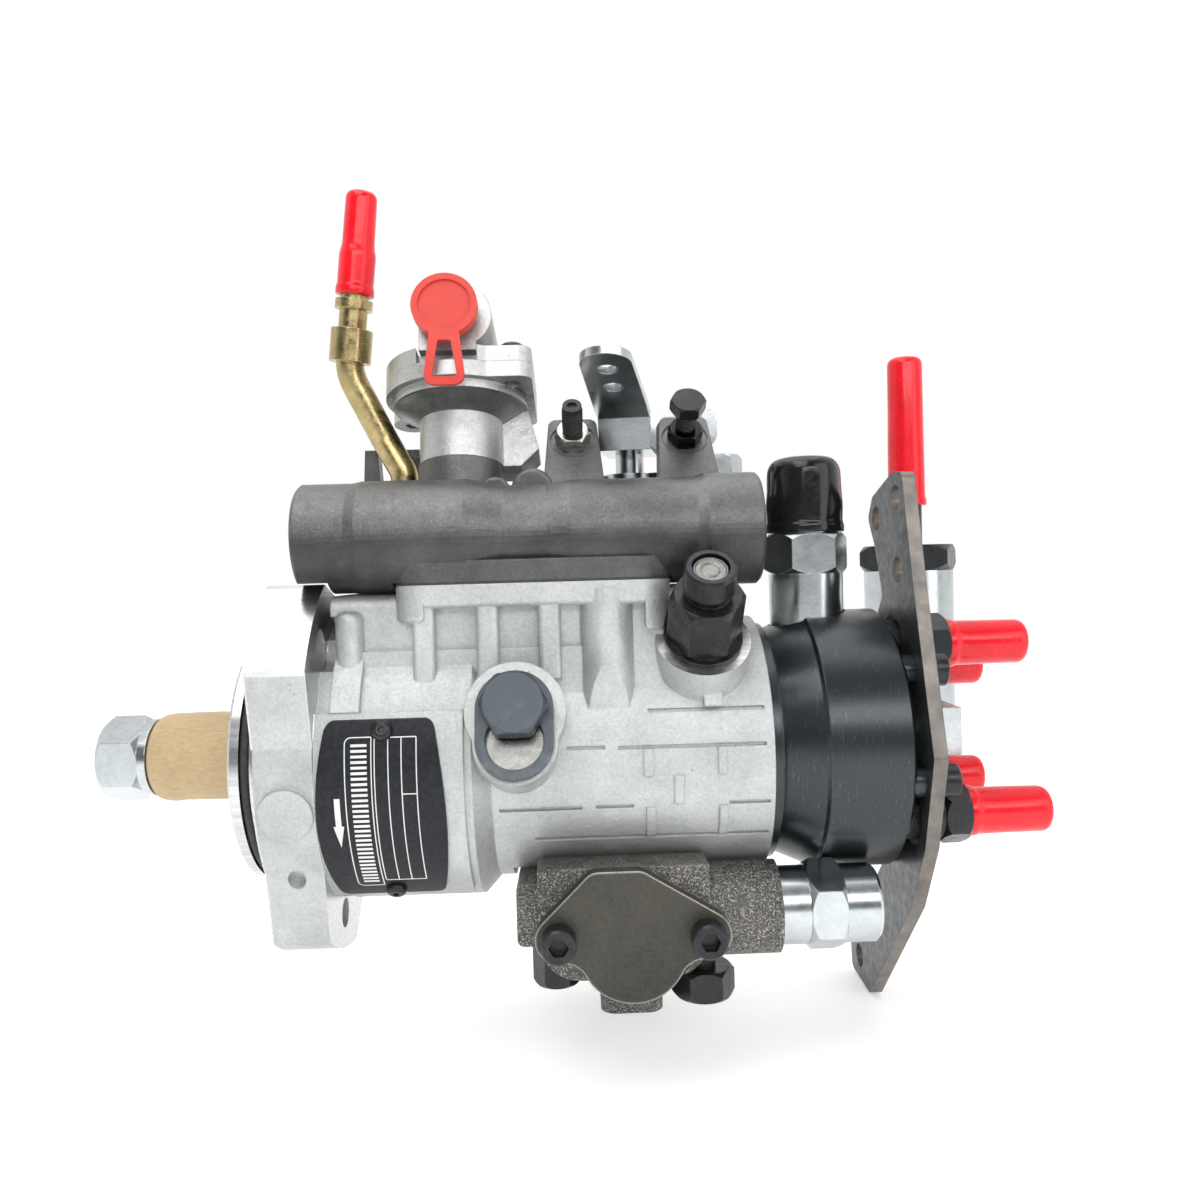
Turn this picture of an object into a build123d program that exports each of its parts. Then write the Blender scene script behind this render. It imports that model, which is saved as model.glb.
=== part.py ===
"""Rotary distributor diesel injection pump, modelled as its separate pieces.

The frame: X runs along the drive shaft from the engine side to the high-pressure outlets, with X = 0
on the front face of the mounting flange. Z is up, towards the governor cover. The side with the
data plate faces -Y. Every size is in millimetres.
"""
from build123d import *
from math import cos, pi, radians, sin, sqrt, tan
import os

# ---------------------------------------------------------------- driving dimensions
RUN_GAP = 0.05          # radial clearance of a running fit
SEAT_GAP = 0.02         # clearance between pieces that are fixed together
BOLT_GAP = 0.3          # radial clearance of a screw in its hole
SAFE_GAP = 0.4          # clearance between moving pieces that never touch

# drive end
SPIGOT_R = 38.9
SPIGOT_LENGTH = 10.2
FLANGE_THICKNESS = 17.0
FLANGE_LOBE_R = 61.0
FLANGE_WEB_R = 48.0
FLANGE_LOBE_HALF_ANGLE = 14.0
FLANGE_HOLE_R = 4.5
FLANGE_HOLE_PCD = 101.0
FLANGE_HOLE_ANGLES = (12.0, 132.0, 252.0)
O_RING_WIRE_R = 1.5
O_RING_BELOW = 0.05     # how far the fitted ring lies below the spigot's surface
O_RING_X = -SPIGOT_LENGTH / 2
FLANGE_CORNER_REACH = 1.04   # the lobes' sharp corners, as a share of the lobe radius
FLANGE_NUT_R = 8.0
FLANGE_PAD_X = 9.0
FLANGE_PAD_ANGLE = -11.0
FLANGE_PAD_R = 7.8
FLANGE_PAD_PROUD = 1.2
DIMPLE_X = 9.0
DIMPLE_ANGLE = -38.0
DIMPLE_R = 2.6

# drive shaft
SHAFT_R = 10.0
TAPER_LENGTH = 24.0
TAPER_BIG_R = 8.5
TAPER_SMALL_R = 6.6
THREAD_R = 6.0
SHAFT_FRONT_X = -61.0
NUT_ACROSS_FLATS = 24.0
NUT_LENGTH = 13.0
WASHER_R = 12.4
WASHER_THICKNESS = 2.6
SLEEVE_R = 14.25
SLEEVE_WALL = 1.5
BUSH_R = 13.0
BUSH_FRONT_X = 6.0
BUSH_BACK_X = 34.0
SEAL_R = 17.0
SEAL_THICKNESS = 7.0
SEAL_LIP = 2.0
HUB_R = 24.0
HUB_THICKNESS = 6.0
HUB_X = 66.0
KEY_WIDTH = 3.0
KEY_LENGTH = 13.0
KEY_PROUD = 1.4
KEY_SEAT_Z = 5.0
TAPER_GAP = 1.5
NUT_SETBACK = 0.5
HUB_NOSE_R = 8.0

# governor
CAGE_R = 27.0
CAGE_DEPTH = 17.0
CAGE_WALL = 1.6
CAGE_FLOOR = 2.5
CAGE_WINDOW_INSET = 4.0
CAGE_WINDOW_HALF_WIDTH = 5.0
WEIGHT_LENGTH = 10.5
WEIGHT_HALF_WIDTH = 7.0
WEIGHT_INNER_R = 15.8
WEIGHT_OUTER_R = 22.5
TOE_HALF_WIDTH = 4.0
TOE_INNER_R = 14.5
TOE_OUTER_R = 19.0
GOVERNOR_STROKE = 4.0
SLEEVE_LENGTH = 6.0
SLEEVE_RIM = 2.0
SLEEVE_BODY_R = 12.5
SLEEVE_RIM_R = 14.2

# housing
FRONT_BARREL_R = 46.0
FRONT_BARREL_END_X = 61.0
REAR_BARREL_R = 40.6
HOUSING_END_X = 148.5
CAM_BORE_R = 31.0
FRONT_WALL_X = 36.0
HEAD_SEAT_R = 36.0
HEAD_SEAT_X = 134.0
DECK_Z = 54.0
DECK_THICKNESS = 7.0
DECK_START_X = 38.8
DECK_END_X = 120.0
DECK_HALF_WIDTH = 39.0
DECK_CORNER_R = 9.0
DECK_ENDS = ((DECK_START_X, 48.0, 11.0), (112.0, DECK_END_X, 15.0))      # x from, x to, depth
TOWER_HALF_WIDTH = 33.0
TOWER_START_X = 20.0
TOWER_END_X = 136.0
TOWER_TOP_Z = 51.4
TOP_WINDOW_START_X = 46.0
TOP_WINDOW_END_X = 112.0
TOP_WINDOW_HALF_WIDTH = 22.0
RIBS = ((47.5, 19.0), (66.0, 26.0), (84.0, 26.0))                        # x, bottom z
RIB_WIDTH = 6.6
RIB_PROUD = 5.0
RIB_BOTTOM_Z = 15.5
LEDGE_Z = 35.0
LEDGE_PROUD = 1.6
BLIND_BOSS_X = 100.7
BLIND_BOSS_R = 7.8
BLIND_FACET_Z = 29.0
BLIND_FACET_SLOPE = 3.2
STRUT_X = 25.5
STRUT_R = 4.2
STRUT_TOP_Z = 47.0
FOOT_Z = -33.5
FOOT_MARGIN = 8.0
SADDLE_EDGE = 3.0
BARREL_RIBS = ((128.3, 133.7, 33.0, 23.0, 2.8), (110.2, 113.0, 8.0, -4.0, 0.6),
               (131.8, 134.3, 8.0, -4.0, 0.6), (119.0, 121.8, -4.0, -16.4, 0.6),
               (110.8, 113.6, -17.6, -32.4, 0.6), (132.2, 134.6, -17.6, -32.4, 0.6))
BARREL_GROOVES = ((112.0, 146.0, 22.8), (88.0, 99.0, 8.2), (103.0, 146.0, 7.8), (68.0, 92.0, -17.2),
                  (96.0, 107.0, -17.0), (135.0, 147.0, -16.8), (78.0, 147.0, -32.8))
GROOVE_DEPTH = 0.9
GROOVE_HALF_ANGLE = 0.7

# pieces on the near flank
LOCK_X = 73.8
LOCK_ANGLE = 21.5
LOCK_BOSS_R = 14.5
LOCK_BOSS_STEP = 2.5
LOCK_BOSS_FACE = 49.0
LOCK_PLATE_R = 11.0
LOCK_PLATE_THICKNESS = 3.2
LOCK_PLATE_DROP = 9.0
LOCK_PLATE_EYE_R = 8.2
LOCK_HEAD_FLATS = 17.0
LOCK_HEAD_HEIGHT = 7.5
LOCK_HEAD_BEVEL = 1.2
LOCK_SHANK_R = 5.0
LOCK_SHANK_LENGTH = 20.0
VALVE_X = 129.0
VALVE_ANGLE = 46.0
VALVE_BOSS_R = 14.0
VALVE_BOSS_FACE = 50.0
VALVE_FLATS = 19.0
VALVE_HEX_LENGTH = 17.5
VALVE_NECK_R = 7.4
VALVE_LENGTH = 28.0
VALVE_CUP_R = 5.3
VALVE_SHANK_R = 7.0
VALVE_SPOT_EDGE = 2.2
VALVE_CUP_DEPTH = 2.4
VALVE_CROWN = 7.5
VALVE_WASHER = 1.5
VALVE_SHANK_LENGTH = 12.0
PLATE_START_X = 20.5
PLATE_WIDTH = 30.0
PLATE_BELLY = 3.2
PLATE_TOP_ANGLE = 20.0
PLATE_BOTTOM_ANGLE = -51.0
PLATE_THICKNESS = 0.8
PLATE_PAD_PROUD = 1.4
PLATE_CORNER_R = 3.0
PLATE_SCREW_R = 3.0
PLATE_SCREW_HEIGHT = 1.9
PLATE_SCREW_LENGTH = 4.0
PLATE_SCREW_INSET = 3.5      # degrees round the barrel from the plate's ends
PLATE_SHANK_R = 1.2

# cam and distributor
CAM_RING_LENGTH = 20.0
CAM_RING_X = 96.0
CAM_BASE_R = 24.0
CAM_LOBES = 4
CAM_LIFT = 2.0
ROLLER_R = 4.0
ROTOR_NOSE_R = 11.5
ROTOR_R = 10.0
HEAD_SLEEVE_R = 17.0
PLUNGER_R = 3.5
CAM_STEPS_PER_LOBE = 8
ROLLER_INSET = 2.0
SHOE_INSET = 3.0
SHOE_HALF_WIDTH = 5.0
PLUNGER_MEETING = 1.5
ROTOR_FRONT_X = 78.0
ROTOR_PLATE = 5.0
ROTOR_PLATE_R = 22.0

# hydraulic head
HEAD_R = 41.8
HEAD_NECK_R = 38.0
HEAD_FRONT_X = 164.7
HEAD_END_X = 189.7
HEAD_COLLAR = 3.0
HEAD_WAIST_DEPTH = 2.2
HEAD_WAIST_SHARE = 0.38
HEAD_RING_X = HEAD_SEAT_X + 5.0
HEAD_RING_WIDTH = 3.4
HEAD_RING_DEPTH = 2.4
HEAD_RING_WIRE_R = 1.1
OUTLET_R = 32.0
OUTLET_DEPTH = 10.0
OUTLET_BASE_R = 7.9
OUTLET_ANGLES = (108.0, 219.0, 38.0, 321.0)
OUTLET_FLATS = 17.0
OUTLET_BASE_LENGTH = 11.5
OUTLET_STEM_R = 5.9
OUTLET_STEM_LENGTH = 22.0
OUTLET_HEX_LENGTH = 8.0
CAP_WALL = 1.3
CAP_LENGTH = 26.0
END_PLATE_R = 19.0
END_PLATE_THICKNESS = 9.0
PUMP_BORE_R = 15.0
PUMP_DEPTH = 11.0
PUMP_LINER_WALL = 3.0
PUMP_FRONT_X = HEAD_END_X - PUMP_DEPTH
ROTOR_END_X = HEAD_END_X - 0.5
BLADE_THICKNESS = 2.4

# inlet tower
TOWER_X = 219.0
TOWER_Y = 50.0
TOWER_R = 16.3
INLET_TOP_Z = 53.5
INLET_BOTTOM_Z = -12.0
INLET_NUT_FLATS = 32.0
INLET_NUT_HEIGHT = 9.5
INLET_STEM_R = 5.4
INLET_STEM_TOP_Z = 118.0
INLET_CAP_TOP_Z = 134.0
INLET_CAP_LENGTH = 56.0
INLET_SOCKET = 22.0
INLET_ARM_HALF_HEIGHT = 8.0

# rear bracket
BRACKET_X = 193.0
BRACKET_THICKNESS = 4.2
BRACKET_OUTLINE = ((-21.5, 84.5), (-13.0, 85.5), (8.5, 79.0), (13.5, 72.0), (7.0, 63.0), (-1.0, 46.0),
                   (5.0, 40.0), (5.0, -45.0), (46.0, -84.0), (44.0, -96.0), (22.0, -97.0),
                   (-24.0, -50.0), (-37.0, -28.0), (-45.5, 0.0), (-30.0, 51.0))
BRACKET_CORNER_R = 2.5
BRACKET_HOLES = ((-15.5, 77.0), (4.5, 71.5), (-16.5, 54.5), (34.0, -88.0))
BRACKET_HOLE_R = 4.2
BRACKET_SCREW_SITES = ((-35.8, -8.0), (-27.5, 24.0), (-6.0, -36.0))
BRACKET_SPACER_R = 4.8
BRACKET_SCREW_LENGTH = 15.0
SCREW_M6_R = 3.0
SCREW_M6_HEAD_R = 5.0
SCREW_M6_HEAD_HEIGHT = 6.0
SOCKET_M6_FLATS = 5.0

# stop solenoid
SOLENOID_X = 167.8
SOLENOID_R = 12.0
SOLENOID_SEAT_Z = 36.0
SOLENOID_HEX_Z = 54.0
SOLENOID_HEX_HEIGHT = 13.0
SOLENOID_FLATS = 24.0
SOLENOID_TOP_Z = 88.0
SOLENOID_CAP_BOTTOM_Z = 67.3
SOLENOID_CAP_TOP_Z = 92.0
SOLENOID_THREAD_R = 9.0
SOLENOID_THREAD = 10.0
SOLENOID_PLUNGER_LENGTH = 28.0
SOLENOID_PLUNGER_OUT = 4.0
SOLENOID_CAP_RIM = 5.0
SOLENOID_PLUNGER_R = 4.0

# governor cover
COVER_GASKET = 0.8
COVER_START_X = 10.5
COVER_END_X = 147.5
BULGE_R = 16.5
BULGE_Y = -24.0
BULGE_Z = 68.5
COVER_TOP_Z = 82.0
BULGE_STATIONS = ((0.0, 0.945), (0.007, 1.0), (0.113, 1.0), (0.135, 1.035), (0.361, 1.035), (0.442, 0.9),
                  (0.536, 0.9), (0.588, 0.97), (0.858, 0.97), (0.88, 1.025), (0.993, 1.025),
                  (1.0, 0.965))                                             # share of length, of BULGE_R
COVER_BACK_Y = 39.0
COVER_WALL = 4.0
COVER_FOOT = 6.0
COVER_SCREW_SITES = ((43.5, 33.0), (69.0, 33.0), (95.0, 33.0))
COVER_SCREW_LENGTH = 16.0
FLANGE_TOP_Z = 55.0
LUG_STARTS_X = (22.0, 36.0)
LUG_WIDTH = 4.2
LUG_DEPTH = 6.5
LUG_Y = 13.5
LUG_TOP_Z = 99.5
LUG_PLINTH = 4.5
CROSS_BOSSES = ((79.5, 82.5, 6.4), (68.0, 81.5, 5.0))                     # x, z, radius
CROSS_BOSS_LENGTH = 20.0
UNION_X = 143.2
UNION_Y = 31.0
UNION_FLATS = 17.0
UNION_HEIGHT = 14.6
UNION_THREAD = 10.0
UNION_THREAD_R = 6.0
UNION_STUB = 0.6
EAR_CENTRES_X = (92.4, 128.9)
EAR_FOOT_WIDTH = 20.0
EAR_TIP_WIDTH = 15.6
EAR_TOP_Z = 107.0
EAR_FOOT_Y = -16.0
EAR_THICKNESS = 8.0
SPOT_R = 7.4
SPOT_DEPTH = 0.5
STOP_SCREW_TILT = 38.0
STOP_SCREW_Z = 99.5
STOP_SCREW_R = 3.0
STOP_SCREW_TAIL = 7.0
STOP_NUT_FLATS = 10.0
STOP_NUT_HEIGHT = 5.0
IDLE_SCREW_OUT = 15.0
MAX_BOLT_OUT = 12.0
MAX_BOLT_HEAD = 4.5
THROTTLE_X = 112.5
THROTTLE_Y = 30.0
THROTTLE_R = 5.0
THROTTLE_DEPTH = 18.0
THROTTLE_NUT_FLATS = 13.0
THROTTLE_NUT_HEIGHT = 5.0
ARM_Z = 84.5
ARM_THICKNESS = 6.0
STOP_ARMS = ((171.0, 28.0), (-29.0, 19.5))     # angle round the shaft, reach
LEVER_Z = 98.0
LEVER_ANGLE = 260.0
LEVER_THICKNESS = 2.5
LEVER_WIDTH = 18.0
LEVER_BEND_REACH = 13.0
LEVER_TIP_REACH = 63.0
LEVER_RISE = 13.4
LEVER_TIP_RISE = 25.0
LEVER_TIP_R = 8.0
LEVER_HOLE_R = 3.3
LEVER_HOLE_REACHES = (39.0, 52.0)
WING_OFFSET = 3.0
WING_HEIGHT = 17.0
WING_REACH = 31.0

# boost control
BOOST_X = 56.0
BOOST_Y = -2.0
BOOST_LEAN = 12.0       # degrees the unit leans away from the near side; heights run along its axis
BOOST_BASE_R = 13.9
BOOST_BASE_HEIGHT = 9.6
BOOST_NECK_R = 13.4
BOOST_NECK_TOP = 24.5
BOOST_BOWL_R = 21.8
BOOST_CONE_TOP = 29.0
BOOST_FLANGE_Z = 31.7
BOOST_FLANGE_R = 24.2
BOOST_SQUARE_FRONT = 22.0
BOOST_SQUARE_BACK = 22.0
BOOST_CORNER_R = 4.0
BOOST_JOINT_Z = 36.7
BOOST_COVER_TOP_Z = 41.8
BOOST_CHAMBER = 9.0
BOOST_PLATE = 2.0
BOOST_PORT_Z = 53.5
BOOST_PORT_R = 10.4
BOOST_PORT_FRONT = 25.0
BOOST_PORT_BACK = 14.0
PORT_BLOCK_X = -2.0
PORT_BLOCK_HALF = 8.9
PORT_BLOCK_FRONT = 19.5
PORT_ROUND_X = 1.5
BOOST_STUB_R = 6.5
BOOST_SCREW_SITES = ((-19.0, 19.5), (18.0, 16.0), (18.0, -15.5))
BOOST_EAR_R = 6.5
BOOST_HEAD_R = 4.2
BOOST_HEAD_HEIGHT = 2.8
BOOST_SHANK_R = 2.5
BOOST_PIN_R = 4.0
BOOST_PIN_FOOT = -11.0
DUCT_LOW_Z = 10.2
DUCT_ELBOW_Z = 16.0
DUCT_Y = 1.0
DUCT_WIDTH = 17.0
BOOST_PLUG_R = 10.2
PLUG_DISC = 3.6
PLUG_RIM = 2.0
PLUG_SKIRT = 5.2
RECESS = 0.8
STRAP_FOOT = 6.5
STRAP_NECK = 4.6
STRAP_LENGTH = 17.0
STRAP_BAND = 2.6

# return pipe
PIPE_R = 4.5
PIPE_ROUTE = ((36.0, 8.0, 82.3), (36.0, 8.0, 91.0), (30.0, 8.0, 102.0), (19.5, 5.0, 124.0), (23.0, 3.0, 152.0))
PIPE_BEND_RADII = (8.0, 14.0, 16.0)
PIPE_WALL = 1.2
PIPE_COLLAR_R = 6.7
PIPE_COLLAR_SETBACK = 25.0
PIPE_COLLAR_LENGTH = 10.5
PIPE_BEAD_R = 6.0
PIPE_BEAD_SETBACK = 8.0
PIPE_BEAD_LENGTH = 3.0
PIPE_CAP_MOUTH = 14.0
PIPE_CAP_LENGTH = 33.0
PIPE_CAP_DEPTH = 8.0
PIPE_CAP_SETBACK = 3.5

# advance unit
ADVANCE_X = 105.5
ADVANCE_Z = -49.5
ADVANCE_HALF_DEPTH = 43.0
ADVANCE_BORE_R = 11.0
ADVANCE_BLOCK_START_X = 78.5
ADVANCE_BLOCK_END_X = 128.0
ADVANCE_BLOCK_BOTTOM_Z = -61.0
ADVANCE_BLOCK_TOP_Z = -28.5
ADVANCE_BLOCK_CORNER_R = 12.0
ADVANCE_EAR_Y = (-38.0, -18.0)
ADVANCE_EAR_Z = (-52.5, -34.0)
EAR_REACH = 6.5
ADVANCE_RIM = 1.2
SADDLE_GAP = 1.2
PISTON_LENGTH = 34.0
PISTON_CUP_R = 7.5
PISTON_CUP_DEPTH = 8.0
STUD_THREAD_R = 4.0
ADVANCE_STUD_R = 5.0
STUD_SLOT_R = ADVANCE_STUD_R + 6
ADVANCE_SCREW_SPACING = 42.3
ADVANCE_SCREW_Z = -47.2
ADVANCE_SCREW_LENGTH = 17.0
ADVANCE_LOBE_R = 6.8
ADVANCE_TOP_RISE = 19.0
ADVANCE_CORNERS_X = (-9.5, 1.5)
ADVANCE_CORNER_R = 5.0
ADVANCE_CHIN_R = 15.5
ADVANCE_CHIN_DROP = 3.4
ADVANCE_COVER_THICKNESS = 5.0
END_PLUG_FLATS = 22.0
END_PLUG_HEIGHT = 6.0
END_PLUG_DEPTH = 8.0
NUB_HALF_WIDTH = 9.5
NUB_LENGTH = 30.0
NUB_BOTTOM_Z = -77.0
CAP_NUT_SITES = ((83.0, -22.0, -56.5, 13.0, 13.0), (128.0, -22.0, -66.0, 17.0, 9.0))
CAP_NUT_STUD_R = 4.0
CAP_NUT_STUD = 8.0
ACTUATOR_Y = -28.5
ACTUATOR_Z = -46.0
ACTUATOR_R = 11.55
ACTUATOR_BOSS_R = 13.7
ACTUATOR_BOSS_END_X = 149.8
ACTUATOR_FLATS = 24.0
ACTUATOR_LENGTH = 30.0
ACTUATOR_HEX_TURN = -1.8
ACTUATOR_SHANK_R = 8.0
ACTUATOR_SHANK_LENGTH = 14.0
ACTUATOR_HEX_START = 8.6
ACTUATOR_HEX_LENGTH = 10.6

LOW = (Align.CENTER, Align.CENTER, Align.MIN)


# ---------------------------------------------------------------- shared shapes
def bar(radius, length):
    """A round bar that stands on the origin and rises along +Z."""
    return Cylinder(radius, length, align=LOW)


def tube(outer, inner, length):
    """A round tube that stands on the origin."""
    return bar(outer, length) - bar(inner, length)


def hex_bar(flats, length, chamfered=True):
    """A hexagonal bar that stands on the origin, with its corners turned off at both ends."""
    corner = flats / sqrt(3)
    body = extrude(RegularPolygon(corner, 6), length)
    if not chamfered:
        return body
    turned_off = chamfer(bar(corner, length).edges(), min(corner - flats / 2, length / 4))
    return body & turned_off


def m6_screw(shank_length):
    """An M6 socket-head screw: the head stands on the origin and the shank hangs below it."""
    head = chamfer(bar(SCREW_M6_HEAD_R, SCREW_M6_HEAD_HEIGHT).edges().sort_by(Axis.Z)[-1:], 0.5)
    socket = extrude(RegularPolygon(SOCKET_M6_FLATS / sqrt(3), 6), SCREW_M6_HEAD_HEIGHT)
    return head - Pos(0, 0, SCREW_M6_HEAD_HEIGHT / 2) * socket + Pos(0, 0, -shank_length) * bar(
        SCREW_M6_R, shank_length)


def turned(*stations):
    """A solid of revolution round X from (x, radius) stations."""
    outline = [(stations[0][0], 0), *stations, (stations[-1][0], 0)]
    return revolve(Polygon(*outline, align=None), Axis.X)


def along_x(shape, x, y=0.0, z=0.0):
    """Turns a shape that rises along +Z to run along +X from the given point."""
    return Pos(x, y, z) * Rot(0, 90, 0) * shape


def facing_viewer(shape, x, y, z):
    """Turns a shape that rises along +Z to run along -Y from the given point."""
    return Pos(x, y, z) * Rot(90, 0, 0) * shape


def radial(shape, x, angle, distance):
    """Puts a shape at a distance from the shaft, rising outwards on the near side."""
    return Pos(x, 0, 0) * Rot(90 - angle, 0, 0) * Pos(0, 0, distance) * shape


def block(x_low, x_high, y_low, y_high, z_low, z_high):
    """A box given by its corners."""
    size = (x_high - x_low, y_high - y_low, z_high - z_low)
    return Pos(x_low, y_low, z_low) * Box(*size, align=(Align.MIN, Align.MIN, Align.MIN))


def across_x(sketch, x, thickness):
    """Extrudes a sketch that is drawn in Y and Z along +X from the given x."""
    return extrude(Pos(x, 0, 0) * (Plane.YZ * sketch), thickness, dir=(1, 0, 0))


def on_circle(radius, angle):
    """The (y, z) point at a radius and an angle from +Y towards +Z."""
    return radius * cos(radians(angle)), radius * sin(radians(angle))


PIECES = {}


def keep(name, *solids):
    """Stores the solids of one piece under its name."""
    PIECES[name] = Compound(children=[s for shape in solids for s in shape.solids()])


# ---------------------------------------------------------------- housing
def flange_outline():
    """Three lobes joined by straight sides round a circular web."""
    corners = [on_circle(FLANGE_LOBE_R * FLANGE_CORNER_REACH, angle + side * FLANGE_LOBE_HALF_ANGLE)
               for angle in FLANGE_HOLE_ANGLES for side in (-1, 1)]
    return (Polygon(*corners, align=None) & Circle(FLANGE_LOBE_R)) + Circle(FLANGE_WEB_R)


def lock_outline(radius):
    """The keyhole spacer's outline: two circles joined, the lower one towards local -Y."""
    slot = SlotCenterToCenter(LOCK_PLATE_DROP, 2 * radius)
    return Pos(0, -LOCK_PLATE_DROP / 2) * Rot(0, 0, 90) * slot


def barrel_sector(inner, outer, x_low, x_high, top_angle, bottom_angle):
    """A patch of a tube on the near side, between two angles above the horizontal."""
    steps = 5
    span = top_angle - bottom_angle
    fan = [on_circle(2 * outer, 180 - top_angle + span * step / (steps - 1)) for step in range(steps)]
    wedge = across_x(Polygon((0, 0), *fan, align=None), x_low, x_high - x_low)
    return wedge & along_x(tube(outer, inner, x_high - x_low), x_low)


def deck_outline():
    """The rounded rectangle that the deck, the gasket and the cover's foot share."""
    middle = (DECK_START_X + DECK_END_X) / 2
    return Pos(middle, 0, 0) * RectangleRounded(DECK_END_X - DECK_START_X, 2 * DECK_HALF_WIDTH, DECK_CORNER_R)


def housing_deck():
    """The deck that carries the cover, deeper at its two ends than in the middle."""
    deck = extrude(Pos(0, 0, DECK_Z - DECK_THICKNESS) * deck_outline(), DECK_THICKNESS)
    deck = fillet(deck.edges().group_by(Axis.Z)[0], DECK_THICKNESS / 3)
    for x_low, x_high, depth in DECK_ENDS:
        end = extrude(Pos(0, 0, DECK_Z - depth) * deck_outline(), depth)
        end &= block(x_low, x_high, -DECK_HALF_WIDTH, DECK_HALF_WIDTH, DECK_Z - depth, DECK_Z)
        deck += fillet(end.edges().group_by(Axis.Z)[0], DECK_THICKNESS / 4)
    return deck


def housing_ribs():
    """The upright ribs under the deck, the ledge between them and the blind boss beside them."""
    ribs = block(TOWER_START_X, BLIND_BOSS_X, -TOWER_HALF_WIDTH - LEDGE_PROUD, 0, RIB_BOTTOM_Z, LEDGE_Z)
    for side in (-1, 1):
        low, high = sorted((0, side * (TOWER_HALF_WIDTH + RIB_PROUD)))
        for centre, bottom in RIBS:
            rib = block(centre - RIB_WIDTH / 2, centre + RIB_WIDTH / 2, low, high, bottom, DECK_Z - 2)
            ribs += fillet(rib.edges().filter_by(Axis.Z), RIB_WIDTH / 4)
    boss_y = -TOWER_HALF_WIDTH + 1
    ribs += Pos(BLIND_BOSS_X, boss_y, RIB_BOTTOM_Z) * bar(BLIND_BOSS_R, DECK_Z - 2 - RIB_BOTTOM_Z)
    front = boss_y - BLIND_BOSS_R
    facet = Polygon((front - 1, BLIND_FACET_Z + 1), (front - 1, RIB_BOTTOM_Z - 1),
                    (front + BLIND_FACET_SLOPE, RIB_BOTTOM_Z - 1), (front, BLIND_FACET_Z + 1), align=None)
    return ribs - across_x(facet, BLIND_BOSS_X - BLIND_BOSS_R, 2 * BLIND_BOSS_R)


def flange_pad(x, angle, radius, proud):
    """A round pad that stands out of the flange's curved web."""
    return radial(bar(radius, FLANGE_WEB_R + proud - CAM_BORE_R), x, angle, CAM_BORE_R)


def pump_housing():
    """The aluminium body casting with its flange, spigot, governor tower and bosses."""
    body = across_x(flange_outline(), 0, FLANGE_THICKNESS)
    body += flange_pad(FLANGE_PAD_X, FLANGE_PAD_ANGLE, FLANGE_PAD_R, FLANGE_PAD_PROUD)
    body += turned((-SPIGOT_LENGTH, SPIGOT_R - 1), (-SPIGOT_LENGTH + 1, SPIGOT_R), (1, SPIGOT_R))
    body += turned((1, FRONT_BARREL_R), (FRONT_BARREL_END_X, FRONT_BARREL_R),
                   (FRONT_BARREL_END_X + 5, REAR_BARREL_R), (HOUSING_END_X, REAR_BARREL_R))
    tower = block(TOWER_START_X, TOWER_END_X, -TOWER_HALF_WIDTH, TOWER_HALF_WIDTH, 0, TOWER_TOP_Z)
    body += fillet(tower.edges().filter_by(Axis.X).group_by(Axis.Z)[-1], 4)
    body += housing_deck() + housing_ribs()
    strut = Pos(STRUT_X, -TOWER_HALF_WIDTH, 0) * bar(STRUT_R, STRUT_TOP_Z)
    body += fillet(strut.edges().sort_by(Axis.Z)[-1:], STRUT_R * 0.7)
    body += barrel_sector(CAM_BORE_R, FRONT_BARREL_R + STRUT_R / 2, STRUT_X - STRUT_R, STRUT_X + STRUT_R,
                          VALVE_ANGLE, PLATE_TOP_ANGLE + 3)
    body += radial(bar(VALVE_BOSS_R, VALVE_BOSS_FACE - CAM_BORE_R), VALVE_X, VALVE_ANGLE, CAM_BORE_R)
    lock_boss = extrude(lock_outline(LOCK_BOSS_R - LOCK_BOSS_STEP), LOCK_BOSS_FACE - CAM_BORE_R)
    lock_boss += bar(LOCK_BOSS_R, LOCK_BOSS_FACE - CAM_BORE_R)
    body += radial(lock_boss, LOCK_X, LOCK_ANGLE, CAM_BORE_R)
    body += barrel_sector(CAM_BORE_R, FRONT_BARREL_R + PLATE_PAD_PROUD, FLANGE_THICKNESS,
                          FRONT_BARREL_END_X - 2, PLATE_TOP_ANGLE + 3, PLATE_BOTTOM_ANGLE - 3)
    for x_low, x_high, top_angle, bottom_angle, proud in BARREL_RIBS:
        body += barrel_sector(CAM_BORE_R, REAR_BARREL_R + proud, x_low, x_high, top_angle, bottom_angle)
    return body - housing_hollows()


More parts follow.
